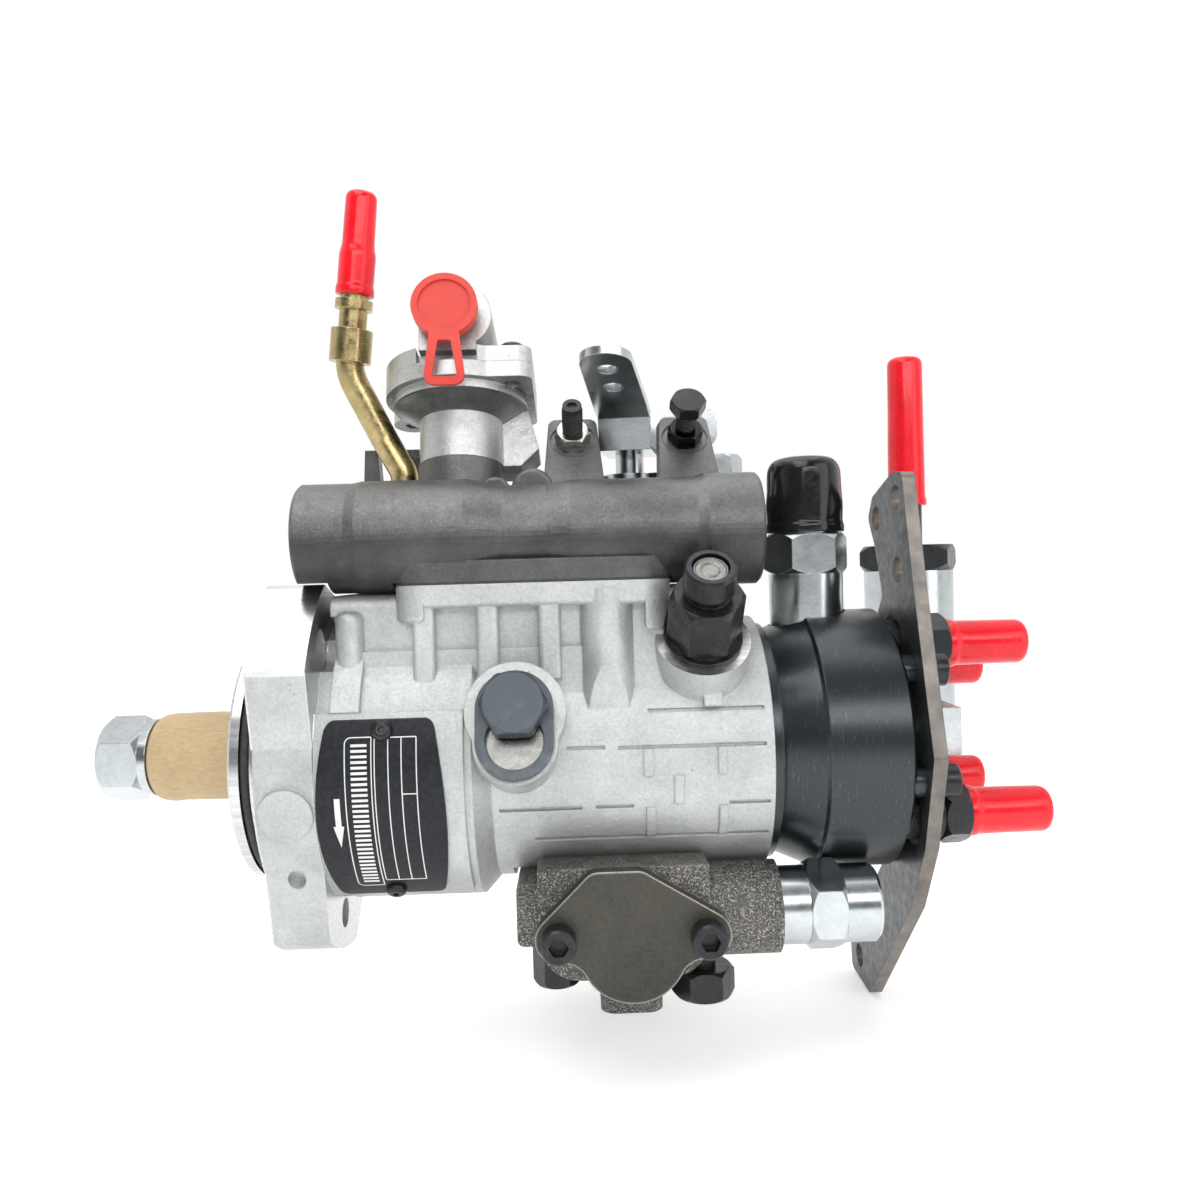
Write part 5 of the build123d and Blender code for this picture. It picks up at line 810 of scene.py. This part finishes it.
def rounded(corners: list[tuple[float, float]], radii: list[float], steps: int = 5) -> np.ndarray:
    """Rounds the inner corners of an open profile.

    Each corner P becomes the curve (1-t)^2 A + 2t(1-t) P + t^2 B, where A and B lie one radius before
    and after it.

    Args:
        corners: The profile's corners.
        radii: A radius for each inner corner.
        steps: Points on each curve.

    Returns:
        The profile's points.
    """
    t = np.linspace(0.0, 1.0, steps)[:, None]
    parts = [np.array([corners[0]])]
    for before, corner, after, radius in zip(corners[:-2], corners[1:-1], corners[2:], radii):
        p, a, b = np.array(corner), np.array(before), np.array(after)
        a = p + (a - p) * radius / np.linalg.norm(a - p)
        b = p + (b - p) * radius / np.linalg.norm(b - p)
        parts.append((1 - t) ** 2 * a + 2 * t * (1 - t) * p + t ** 2 * b)
    parts.append(np.array([corners[-1]]))
    return np.concatenate(parts)


def turn_profile(profile: np.ndarray, place: Matrix, columns: int = 72, swell: object = None) -> Grid:
    """Carries a profile round an axis: x = r cos t, y = r sin t, z = h.

    Args:
        profile: Rows of radius and height.
        place: The frame of the axis.
        columns: Points round the axis.
        swell: A function of the angle and height that gives what is added to the radius.

    Returns:
        The closed surface.
    """
    angle = np.linspace(0.0, 2 * math.pi, columns, endpoint=False)[None, :]
    radius, height = profile[:, :1], profile[:, 1:]
    if swell is not None:
        radius = radius + swell(angle, height) * np.clip(radius / radius.max(), 0.0, 1.0)
    points = np.stack([radius * np.cos(angle), radius * np.sin(angle),
                       height + np.zeros_like(radius * angle)], axis=-1)
    return Grid(carry(points, place))


def screw_thread(place: Matrix, radius: float, pitch: float, start: float, end: float) -> Grid:
    """Winds a rounded thread: r = radius + depth (1 + cos(2 pi h / pitch - t)) / 2, faded at both ends.

    Args:
        place: The frame of the screw's axis.
        radius: The root's radius.
        pitch: The pitch.
        start: The lowest height.
        end: The highest height.

    Returns:
        The closed surface.
    """
    depth, columns, rows_per_turn = 0.32 * pitch, 40, 10
    height = np.linspace(start, end, int(rows_per_turn * (end - start) / pitch))[:, None]
    angle = np.linspace(0.0, 2 * math.pi, columns, endpoint=False)[None, :]
    fade = np.clip(np.minimum(height - start, end - height) / pitch, 0.0, 1.0)
    radius = radius + depth * fade * (0.5 + 0.5 * np.cos(2 * math.pi * height / pitch - angle))
    points = np.stack([radius * np.cos(angle), radius * np.sin(angle), height + 0 * radius], axis=-1)
    return Grid(carry(points, place))


# ---------------------------------------------------------------- shared shapes
@dataclass
class DippedCap:
    """A dipped transit cap: a thin wall with a rolled mouth, slack waves and a domed tip."""

    place: Matrix
    bore: float
    length: float
    depth: float
    wall: float = 0.0013
    tip_shrink: float = 0.0003
    dome: float = 0.0032
    roll: float = 0.00045
    roll_height: float = 0.0022
    lip_height: float = 0.0036
    slack: float = 0.00012
    creases: int = 3
    fold: float = 0.0
    fold_at: float = 0.3

    def swell(self, angle: np.ndarray, height: np.ndarray) -> np.ndarray:
        """Gives the waves and the fold.

        The waves are slack (cos(2t + 90h) + cos(n t - 260h) / 2), growing away from the mouth. The fold
        is fold (1 + |sin(n t / 2 + 200h)|) exp(-(6 (s - fold_at))^2), with s = h / length, so that it
        runs round the cap as a pleated bulge.

        Args:
            angle: The angle t round the axis.
            height: The height h above the mouth.

        Returns:
            What is added to the radius.
        """
        share = np.clip(height / self.length, 0.0, 1.0)
        wave = np.cos(2 * angle + 90 * height) + 0.5 * np.cos(self.creases * angle - 260 * height)
        pleat = 1 + np.abs(np.sin(0.5 * self.creases * angle + 200 * height))
        bulge = pleat * np.exp(-(6 * (share - self.fold_at)) ** 2)
        return self.slack * wave * (0.3 + 0.7 * share) + self.fold * bulge

    def surface(self) -> Grid:
        """Works out the wall, from the inside of the tip round the mouth to the outside of the tip."""
        outer, tip = self.bore + self.wall, self.bore + self.wall - self.tip_shrink
        corners = [(CAP_POLE, self.depth), (self.bore, self.depth), (self.bore, 0.0),
                   (outer + self.roll, 0.0), (outer + self.roll, self.roll_height),
                   (outer, self.lip_height), (tip, self.length), (CAP_POLE, self.length)]
        radii = [0.0004, 0.0003, 0.0006, 0.0006, 0.0006, self.dome]
        wall = rounded(corners, radii, 8)
        rows = [np.linspace(a, b, 3, endpoint=False) for a, b in zip(wall[:-1], wall[1:])]
        return turn_profile(np.concatenate([*rows, wall[-1:]]), self.place, 72, self.swell)


@dataclass
class SubAssembly:
    """A group of nodes and pieces that are finished together."""

    materials: dict[Finish, bpy.types.Material]
    nodes: dict[str, bpy.types.Object]

    def coats(self) -> dict[str, Finish]:
        """Names the finish of each CAD node."""
        return {}

    def add_pieces(self) -> None:
        """Makes the pieces that the frame leaves to the looks."""

    def build(self) -> None:
        """Dresses the nodes, then adds the pieces."""
        for node, finish in self.coats().items():
            mesh = self.nodes[node].data
            mesh.materials.clear()
            mesh.materials.append(self.materials[finish])
            LOG.info("%s: %s is %s", type(self).__name__, node, finish.value)
        self.add_pieces()

    def add(self, name: str, grids: list[Grid], body: str, finish: Finish, slot: Finish | None = None,
            stands_for: tuple[str, ...] = ()) -> bpy.types.Object:
        """Makes one piece, dresses it and lets it ride on its body.

        Args:
            name: The piece's name.
            grids: Its surfaces.
            body: The body that it moves with.
            finish: Its finish.
            slot: The record's slot, where the finish isn't one; not used.
            stands_for: The CAD nodes that it replaces.

        Returns:
            The piece.
        """
        piece = make_piece(name, grids)
        piece.data.materials.append(self.materials[finish])
        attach(piece, body)
        if stands_for:
            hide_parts(*stands_for)
        LOG.info("%s: added %s with %d faces", type(self).__name__, name, len(piece.data.polygons))
        return piece


# ---------------------------------------------------------------- body and data plate
@dataclass
class PlatePrint:
    """The plate's bare print: two ruled boxes, a row of even ticks and an arrow, on the plate's curve."""

    radius: float
    middle_x: float = 0.0355
    middle_degrees: float = -15.5
    lift: float = 0.00004
    line: float = 0.0003
    ruled: tuple[float, float, float, float] = (-0.0012, 0.0105, -0.0215, 0.0250)
    columns: tuple[float, float] = (0.0026, 0.0063)
    divider: float = 0.0090
    ticked: tuple[float, float, float, float] = (-0.0095, -0.0021, -0.0242, 0.0252)
    ticked_corner: float = 0.0018
    tick_margin: float = 0.0015
    tick_from: float = -0.0078
    tick_to: float = -0.0033
    tick_count: int = 30
    arrow_x: float = -0.0120
    arrow_top: float = 0.0082
    arrow_neck: float = -0.0002
    arrow_tip: float = -0.0070
    arrow_width: float = 0.0016
    arrow_head: float = 0.0030
    arrow_stations: int = 12

    def wrap(self, flat: np.ndarray, height: np.ndarray) -> np.ndarray:
        """Lays flat points on the plate: the angle is the upward distance over the radius.

        Args:
            flat: Points along and up the plate.
            height: Their height over it.

        Returns:
            The points in the frame.
        """
        angle = math.radians(self.middle_degrees) + flat[..., 1] / self.radius
        reach, along = self.radius + height, self.middle_x + flat[..., 0]
        return np.stack([along, -reach * np.cos(angle), reach * np.sin(angle)], axis=-1)

    def strip(self, left: np.ndarray, right: np.ndarray, up: np.ndarray) -> Grid:
        """Raises a strip between two edges.

        Args:
            left: The left edge at each station.
            right: The right edge at each station.
            up: The stations.

        Returns:
            The closed surface.
        """
        edges = np.stack([left, left, right, right], axis=-1)
        flat = np.stack([edges, np.repeat(up[:, None], 4, axis=1)], axis=-1)
        height = np.broadcast_to(np.array([-self.lift, self.lift, self.lift, -self.lift]), edges.shape)
        return Grid(self.wrap(flat, height))

    def upright(self, along: float, low: float, high: float) -> Grid:
        """Rules a line up the plate."""
        up = np.linspace(low, high, 24)
        edge = np.full_like(up, along)
        return self.strip(edge - self.line / 2, edge + self.line / 2, up)

    def box(self, left: float, right: float, low: float, high: float, corner: float) -> Grid:
        """Rules a closed box with rounded left corners.

        The path is the box's outline, whose corners are quarter circles, and its edges lie half a line
        to each side of it along the path's normal.

        Args:
            left: The left side.
            right: The right side.
            low: The bottom.
            high: The top.
            corner: The left corners' radius.

        Returns:
            The closed surface.
        """
        small = self.line
        turn = np.linspace(0.0, math.pi / 2, 7)
        parts = []
        for quarter, (x, y, radius) in enumerate(((right - small, high - small, small),
                                                  (left + corner, high - corner, corner),
                                                  (left + corner, low + corner, corner),
                                                  (right - small, low + small, small))):
            angle = turn + quarter * math.pi / 2
            parts.append(np.stack([x + radius * np.cos(angle), y + radius * np.sin(angle)], axis=-1))
            if quarter in (1, 3):
                side = x + radius * math.cos(angle[-1])
                rise = np.linspace(0.04, 0.96, 20)[:, None]
                gap = corner if quarter == 1 else small
                start, end = (high - gap, low + gap) if quarter == 1 else (low + gap, high - gap)
                straight = [np.full_like(rise, side), start + rise * (end - start)]
                parts.append(np.concatenate(straight, axis=1))
        path = np.concatenate(parts)
        along = np.roll(path, -1, axis=0) - np.roll(path, 1, axis=0)
        along /= np.linalg.norm(along, axis=1, keepdims=True)
        normal = np.stack([along[:, 1], -along[:, 0]], axis=-1) * self.line / 2
        flat = np.stack([path - normal, path - normal, path + normal, path + normal], axis=1)
        height = np.broadcast_to(np.array([-self.lift, self.lift, self.lift, -self.lift]), flat.shape[:2])
        return Grid(self.wrap(flat, height), wrap_rows=True, caps=False)

    def surfaces(self) -> list[Grid]:
        """Works out the whole print."""
        left, right, low, high = self.ruled
        grids = [self.box(*self.ruled, 2 * self.line), self.box(*self.ticked, self.ticked_corner)]
        grids += [self.upright(column, low, high) for column in self.columns]
        bar = np.array([self.divider - self.line / 2, self.divider + self.line / 2])
        grids.append(self.strip(np.full(2, self.columns[1]), np.full(2, right), bar))
        pitch = (self.ticked[3] - self.ticked[2] - 2 * self.tick_margin) / self.tick_count
        for tick in range(self.tick_count):
            start = self.ticked[2] + self.tick_margin + (tick + 0.25) * pitch
            up = np.array([start, start + pitch / 2])
            grids.append(self.strip(np.full(2, self.tick_from), np.full(2, self.tick_to), up))
        point, step, count = 0.00003, 0.00001, self.arrow_stations
        up = np.concatenate([np.linspace(self.arrow_tip, self.arrow_neck, count),
                             np.linspace(self.arrow_neck + step, self.arrow_top, count)])
        half = np.concatenate([np.linspace(point, self.arrow_head / 2, count),
                               np.full(count, self.arrow_width / 2)])
        grids.append(self.strip(self.arrow_x - half, self.arrow_x + half, up))
        return grids


@dataclass
class PumpBody(SubAssembly):
    """The casting with its data plate, shaft lock and latch valve."""

    valve_x: float = 0.129
    valve_degrees: float = 46.0
    valve_floor: float = 0.0771
    disc_radius: float = 0.0050
    lock_x: float = 0.0738
    lock_degrees: float = 21.5
    lock_face: float = 0.0490
    eye_drop: float = 0.0090
    eye_radius: float = 0.0081
    spot_height: float = 0.00012

    def coats(self) -> dict[str, Finish]:
        """Names the finish of each CAD node."""
        return {"pump_housing": Finish.CAST_ALUMINIUM, "data_plate": Finish.PLATE_BLACK,
                "data_plate_screws": Finish.BLACK_STEEL, "lock_spacer": Finish.BLUED_STEEL,
                "shaft_lock_screw": Finish.BLUED_STEEL, "latch_valve": Finish.BLACK_STEEL}

    def add_pieces(self) -> None:
        """Prints the plate and sets the bright disc in the valve's cup."""
        plate = np.array([corner.co for corner in self.nodes["data_plate"].data.vertices])
        radius = float(np.hypot(plate[:, 1], plate[:, 2]).max())
        self.add("plate_print", PlatePrint(radius).surfaces(), "pump", Finish.PLATE_PRINT,
                 Finish.PLATE_BLACK)
        self.add("valve_disc", [self.valve_disc()], "pump", Finish.PLAIN_STEEL)
        self.add("lock_spot_face", [self.lock_spot_face()], "pump", Finish.PLAIN_STEEL,
                 Finish.CAST_ALUMINIUM)

    def lock_spot_face(self) -> Grid:
        """Mills the bright spot that shows through the spacer's eye: a thin disc on the boss."""
        turn = math.radians(self.lock_degrees)
        outward = Vector((0.0, -math.cos(turn), math.sin(turn)))
        downward = Vector((0.0, -math.sin(turn), -math.cos(turn)))
        centre = Vector((self.lock_x, 0.0, 0.0)) + self.lock_face * outward + self.eye_drop * downward
        top, foot = self.spot_height, -0.0002
        profile = np.array([(DISC_POLE, top), (self.eye_radius, top), (self.eye_radius, foot),
                            (DISC_POLE, foot)])
        return turn_profile(profile, axis_place(tuple(centre), tuple(outward)))

    def valve_disc(self) -> Grid:
        """Turns the staked disc: a raised rim round a flat with a shallow ring groove."""
        edge = self.disc_radius
        flat, groove, rim, foot = 0.0010, 0.0008, 0.0014, 0.0002
        corners = [(DISC_POLE, flat), (0.46 * edge, flat), (0.52 * edge, groove), (0.58 * edge, flat),
                   (0.84 * edge, flat), (0.88 * edge, rim), (0.97 * edge, rim), (edge, foot),
                   (DISC_POLE, foot)]
        profile = rounded(corners, [0.00012] * (len(corners) - 2), 4)
        return turn_profile(profile, radial_place(self.valve_x, self.valve_degrees, self.valve_floor))


# ---------------------------------------------------------------- drive end
@dataclass
class DriveEnd(SubAssembly):
    """The shaft, its nut and transit sleeve, the seals and the gear that turns in the body."""

    sleeve_start: float = -0.0449
    sleeve_end: float = -0.0117
    sleeve_radius: float = 0.01425
    sleeve_wall: float = 0.0015
    mouth_radius: float = 0.0112
    mouth_wall: float = 0.0013
    lap: float = 0.00028
    lap_pitch: float = 0.030

    def coats(self) -> dict[str, Finish]:
        """Names the finish of each CAD node."""
        return {"drive_shaft": Finish.PLAIN_STEEL, "shaft_key": Finish.PLAIN_STEEL,
                "shaft_nut": Finish.ZINC_STEEL, "transit_sleeve": Finish.CARD,
                "shaft_seal": Finish.BLACK_RUBBER, "front_bush": Finish.BRONZE,
                "o_rings": Finish.BLACK_RUBBER, "governor_cage": Finish.PLAIN_STEEL,
                "governor_weights": Finish.PLAIN_STEEL, "thrust_sleeve": Finish.PLAIN_STEEL,
                "cam_ring": Finish.GROUND_STEEL, "cam_advance_stud": Finish.PLAIN_STEEL,
                "cam_rollers": Finish.GROUND_STEEL, "roller_shoes": Finish.PLAIN_STEEL,
                "pumping_plungers": Finish.GROUND_STEEL, "distributor_rotor": Finish.GROUND_STEEL}

    def add_pieces(self) -> None:
        """Winds the card sleeve, whose nut end is pressed in."""
        self.add("wound_sleeve", [self.wound_sleeve()], "drive_line", Finish.CARD,
                 stands_for=("transit_sleeve",))

    def lap_step(self, angle: np.ndarray, height: np.ndarray) -> np.ndarray:
        """Gives the spiral lap: lap times the fraction of (t / 2 pi + h / pitch), less half of it."""
        phase = (angle / (2 * math.pi) + height / self.lap_pitch) % 1.0
        return self.lap * (np.minimum(phase, 12 * (1 - phase)) - 0.5)

    def wound_sleeve(self) -> Grid:
        """Carries the tube's wall, with its pressed-in mouth, round the shaft."""
        length = self.sleeve_end - self.sleeve_start
        outer, inner = self.sleeve_radius - self.lap / 2, self.sleeve_radius - self.sleeve_wall
        mouth, mouth_bore = self.mouth_radius, self.mouth_radius - self.mouth_wall
        corners = [(inner - 0.0004, 0.0042), (mouth_bore, 0.0016), (mouth_bore, 0.0), (mouth, 0.0),
                   (outer - 0.0006, 0.0016), (outer, 0.0048), (outer, length), (inner, length),
                   (inner - 0.0004, 0.0042)]
        wall = rounded(corners, [0.0012, 0.0004, 0.0005, 0.0014, 0.0020, 0.0004, 0.0003], 6)
        rows = [np.linspace(a, b, 10, endpoint=False) for a, b in zip(wall[:-1], wall[1:])]
        place = axis_place((self.sleeve_start, 0.0, 0.0), (1.0, 0.0, 0.0))
        grid = turn_profile(np.concatenate(rows), place, 144, self.lap_step)
        grid.wrap_rows, grid.caps = True, False
        return grid


# ---------------------------------------------------------------- hydraulic head
@dataclass
class HydraulicHead(SubAssembly):
    """The head with its outlets, inlet tower, stop solenoid, bracket and transit caps."""

    outlet_angles: tuple[float, ...] = (108.0, 219.0, 38.0, 321.0)
    outlet_circle: float = 0.032
    outlet_cap_x: float = 0.20922
    outlet_bore: float = 0.00592
    outlet_length: float = 0.026
    inlet_place: tuple[float, float, float] = (0.219, 0.050, 0.078)
    inlet_bore: float = 0.00542
    inlet_length: float = 0.056
    solenoid_place: tuple[float, float, float] = (0.1678, 0.0, 0.0673)
    solenoid_bore: float = 0.01072
    solenoid_length: float = 0.0247

    def coats(self) -> dict[str, Finish]:
        """Names the finish of each CAD node."""
        return {"hydraulic_head": Finish.TURNED_BLACK, "outlet_unions": Finish.BLACK_STEEL,
                "outlet_caps": Finish.RED_VINYL, "head_sleeve": Finish.GROUND_STEEL,
                "transfer_pump_liner": Finish.GROUND_STEEL, "transfer_pump_blades": Finish.PLAIN_STEEL,
                "end_plate": Finish.ZINC_STEEL, "inlet_union": Finish.BLACK_STEEL,
                "inlet_cap": Finish.RED_VINYL, "rear_bracket": Finish.BRACKET_STEEL,
                "bracket_screws": Finish.BLACK_STEEL, "stop_solenoid": Finish.ZINC_STEEL,
                "solenoid_plunger": Finish.PLAIN_STEEL, "solenoid_cap": Finish.BLACK_VINYL}

    def outlet_place(self, degrees: float) -> Matrix:
        """Gives the frame of one outlet's cap, which points along the shaft."""
        turn = math.radians(degrees)
        y, z = self.outlet_circle * math.cos(turn), self.outlet_circle * math.sin(turn)
        return axis_place((self.outlet_cap_x, y, z), (1.0, 0.0, 0.0))

    def add_pieces(self) -> None:
        """Dips the caps of the outlets, the inlet and the solenoid."""
        caps = [DippedCap(self.outlet_place(angle), self.outlet_bore, self.outlet_length,
                          self.outlet_length - 0.0013).surface() for angle in self.outlet_angles]
        self.add("outlet_vinyl_caps", caps, "outlet_caps", Finish.RED_VINYL, stands_for=("outlet_caps",))
        tall = DippedCap(axis_place(self.inlet_place, (0.0, 0.0, 1.0)), self.inlet_bore,
                         self.inlet_length, self.inlet_length - 0.0146)
        self.add("inlet_vinyl_cap", [tall.surface()], "inlet_cap", Finish.RED_VINYL,
                 stands_for=("inlet_cap",))
        wide = DippedCap(axis_place(self.solenoid_place, (0.0, 0.0, 1.0)), self.solenoid_bore,
                         self.solenoid_length, self.solenoid_length - 0.0038, roll=0.0006, dome=0.0058,
                         slack=0.00022, creases=8, fold=0.00032)
        self.add("solenoid_vinyl_cap", [wide.surface()], "solenoid_cap", Finish.BLACK_VINYL,
                 stands_for=("solenoid_cap",))


# ---------------------------------------------------------------- governor cover
@dataclass
class GovernorCover(SubAssembly):
    """The cover with its throttle lever, stop screws, overflow union and return pipe."""

    ear_centres: tuple[float, float] = (0.0924, 0.1289)
    screw_foot_y: float = -0.016
    screw_z: float = 0.0995
    cover_top_z: float = 0.082
    tilt_degrees: float = 38.0
    thread_root: float = 0.00301
    thread_pitch: float = 0.0010
    pipe_end: tuple[float, float, float] = (0.023, 0.003, 0.152)
    pipe_before: tuple[float, float, float] = (0.0195, 0.005, 0.124)
    cap_overlap: float = 0.0035
    cap_bore: float = 0.00452
    cap_depth: float = 0.0080
    cap_length: float = 0.0330

    def coats(self) -> dict[str, Finish]:
        """Names the finish of each CAD node."""
        return {"governor_cover": Finish.COVER_CASTING, "cover_gasket": Finish.BLACK_RUBBER,
                "cover_screws": Finish.BLACK_STEEL, "throttle_shaft": Finish.ZINC_STEEL,
                "throttle_lever": Finish.ZINC_STEEL, "lever_nut": Finish.ZINC_STEEL,
                "idle_screw": Finish.BLACK_STEEL, "max_speed_screw": Finish.BLACK_STEEL,
                "stop_screw_nuts": Finish.STOP_NUTS, "overflow_union": Finish.ZINC_STEEL,
                "return_pipe": Finish.YELLOW_ZINC, "return_cap": Finish.RED_VINYL}

    def screw_place(self, along: float) -> Matrix:
        """Gives the frame on a stop screw's axis, whose height is counted from the ear's face."""
        tilt = math.radians(self.tilt_degrees)
        rise = math.tan(tilt) * (self.screw_z - self.cover_top_z + 0.002)
        return axis_place((along, self.screw_foot_y + rise, self.screw_z),
                          (0.0, -math.cos(tilt), math.sin(tilt)))

    def add_pieces(self) -> None:
        """Cuts the stop screws' threads and dips the return pipe's cap."""
        left, right = self.ear_centres
        for name, along, body, end in (("idle_thread", left, "idle_screw", 0.0142),
                                       ("max_thread", right, "max_speed_screw", 0.0118)):
            grid = screw_thread(self.screw_place(along), self.thread_root, self.thread_pitch, 0.0046, end)
            self.add(name, [grid], body, Finish.BLACK_STEEL)
        self.add("return_vinyl_cap", [self.return_cap()], "return_cap", Finish.RED_VINYL,
                 stands_for=("return_cap",))

    def return_cap(self) -> Grid:
        """Dips the pipe's cap: a wide mouth over the pipe's end and a slimmer closed finger."""
        end, before = Vector(self.pipe_end), Vector(self.pipe_before)
        along = (end - before).normalized()
        place = axis_place(tuple(end - along * self.cap_overlap), tuple(along))
        bore, depth, length = self.cap_bore, self.cap_depth, self.cap_length
        corners = [(CAP_POLE, depth), (bore, depth), (bore, 0.0), (0.0062, 0.0), (0.0062, 0.0022),
                   (0.0058, 0.0035), (0.0058, 0.0132), (0.0051, 0.0158), (0.0049, length),
                   (CAP_POLE, length)]
        profile = rounded(corners, [0.0004, 0.0003, 0.0006, 0.0006, 0.0006, 0.0014, 0.0014, 0.0028], 7)
        return turn_profile(profile, place, 64, DippedCap(place, bore, length, depth).swell)


# ---------------------------------------------------------------- boost control
@dataclass
class BoostControl(SubAssembly):
    """The boost control that leans on the cover's left end."""

    def coats(self) -> dict[str, Finish]:
        """Names the finish of each CAD node."""
        return {"boost_body": Finish.BOOST_CASTING, "boost_cover": Finish.BOOST_CASTING,
                "boost_screws": Finish.BLACK_STEEL, "boost_diaphragm": Finish.PLAIN_STEEL,
                "boost_port_plug": Finish.RED_DISC}


# ---------------------------------------------------------------- advance unit
@dataclass
class AdvanceUnit(SubAssembly):
    """The advance unit below the body."""

    def coats(self) -> dict[str, Finish]:
        """Names the finish of each CAD node."""
        return {"advance_housing": Finish.CAST_IRON, "advance_cover": Finish.BRONZE_COVER,
                "advance_cover_screws": Finish.BLACK_STEEL, "advance_cap_nuts": Finish.BLACK_STEEL,
                "advance_piston": Finish.GROUND_STEEL, "advance_end_plug": Finish.BLACK_STEEL,
                "advance_actuator": Finish.ZINC_STEEL}


# ---------------------------------------------------------------- studio
@dataclass
class Studio:
    """The pale floor, the soft lights and the camera."""

    floor_z: float = -0.0975
    floor_half: float = 6.0
    floor_glow: float = 0.3
    camera_place: tuple[float, float, float] = (0.09193, -0.32176, 0.05740)
    yaw: float = 0.0245
    pitch: float = -0.0319
    roll: float = 0.0279
    lens: float = 29.42
    sensor: float = 36.0
    nearest: float = 0.01
    sky: Colour = (1.0, 1.0, 1.0)
    room: Colour = (0.15, 0.16, 0.17)
    room_from: float = -0.10
    room_full: float = -0.55
    target: tuple[float, float, float] = (0.09, 0.0, 0.03)
    softboxes: tuple = field(default_factory=lambda: (
        ("key", (-0.10, -0.45, 0.75), (0.5, 0.5), 2.9),
        ("fill", (0.75, -0.5, 0.30), (0.4, 0.7), 1.8),
        ("front", (0.22, -0.80, 0.40), (0.9, 0.25), 3.2),
        ("top", (0.1, 0.1, 0.9), (0.9, 0.7), 2.9),
    ))

    def build(self) -> None:
        """Makes the floor, the world, the lights and the camera."""
        bpy.context.scene.view_settings.view_transform = "Standard"
        self.lay_floor()
        self.set_world()
        self.hang_softboxes()
        self.place_camera()

    def lay_floor(self) -> None:
        """Lays a large pale floor under the pump."""
        half = self.floor_half
        sides = ((-half, -half), (half, -half), (half, half), (-half, half))
        corners = [(x, y, self.floor_z) for x, y in sides]
        mesh = bpy.data.meshes.new("floor")
        mesh.from_pydata(corners, [], [(0, 1, 2, 3)])
        floor = bpy.data.objects.new("floor", mesh)
        bpy.context.scene.collection.objects.link(floor)
        graph = Graph("floor_paint")
        tone = graph.blend(graph.noise(3.0, 3.0), (0.93, 0.935, 0.93), (0.96, 0.962, 0.96))
        mesh.materials.append(graph.dress(Base_Color=tone, Roughness=0.55, Emission_Color=(1.0, 1.0, 1.0),
                                          Emission_Strength=self.floor_glow))

    def set_world(self) -> None:
        """Sets a white sky, with a room on the near side that only lights and reflects as dim."""
        world = bpy.data.worlds.new("studio")
        bpy.context.scene.world = world
        world.use_nodes = True
        tree = world.node_tree
        split = tree.nodes.new("ShaderNodeSeparateXYZ")
        tree.links.new(tree.nodes.new("ShaderNodeTexCoord").outputs["Generated"], split.inputs[0])
        near = tree.nodes.new("ShaderNodeMapRange")
        near.inputs["From Min"].default_value = self.room_from
        near.inputs["From Max"].default_value = self.room_full
        tree.links.new(split.outputs[1], near.inputs["Value"])
        mix = tree.nodes.new("ShaderNodeMix")
        mix.data_type = "RGBA"
        mix.inputs[6].default_value = (*self.sky, 1.0)
        mix.inputs[7].default_value = (*self.room, 1.0)
        unseen = tree.nodes.new("ShaderNodeMath")
        unseen.operation = "SUBTRACT"
        unseen.use_clamp = True
        tree.links.new(near.outputs["Result"], unseen.inputs[0])
        tree.links.new(tree.nodes.new("ShaderNodeLightPath").outputs["Is Camera Ray"], unseen.inputs[1])
        tree.links.new(unseen.outputs[0], mix.inputs["Factor"])
        background = tree.nodes["Background"]
        tree.links.new(mix.outputs[2], background.inputs["Color"])
        background.inputs["Strength"].default_value = 1.0

    def hang_softboxes(self) -> None:
        """Hangs the softboxes, all aimed at the pump."""
        for name, place, size, power in self.softboxes:
            lamp = bpy.data.lights.new(name, "AREA")
            lamp.shape = "RECTANGLE"
            lamp.size, lamp.size_y = size
            lamp.energy = power
            piece = bpy.data.objects.new(name, lamp)
            bpy.context.scene.collection.objects.link(piece)
            piece.location = place
            aim = Vector(self.target) - Vector(place)
            piece.rotation_euler = aim.to_track_quat("-Z", "Y").to_euler()

    def place_camera(self) -> None:
        """Places the camera from its yaw, pitch and roll."""
        yaw, pitch, roll = self.yaw, self.pitch, self.roll
        flat = math.cos(pitch)
        forward = Vector((math.sin(yaw) * flat, math.cos(yaw) * flat, math.sin(pitch)))
        level = Vector((math.cos(yaw), -math.sin(yaw), 0.0))
        upright = level.cross(forward)
        right = level * math.cos(roll) - upright * math.sin(roll)
        up = upright * math.cos(roll) + level * math.sin(roll)
        data = bpy.data.cameras.new("camera")
        data.lens = self.lens
        data.sensor_width = self.sensor
        data.clip_start = self.nearest
        camera = bpy.data.objects.new("camera", data)
        bpy.context.scene.collection.objects.link(camera)
        turn = Matrix((right, up, -forward)).transposed()
        camera.matrix_world = Matrix.Translation(self.camera_place) @ turn.to_4x4()
        bpy.context.scene.camera = camera


def main() -> None:
    """Builds the studio, the finishes and each sub-assembly in order."""
    logging.basicConfig(level=logging.INFO, format="%(message)s")
    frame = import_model()
    Studio().build()
    materials = finishes()
    for group in (PumpBody, DriveEnd, HydraulicHead, GovernorCover, BoostControl, AdvanceUnit):
        group(materials, frame["nodes"]).build()


if __name__ == "__main__":
    main()
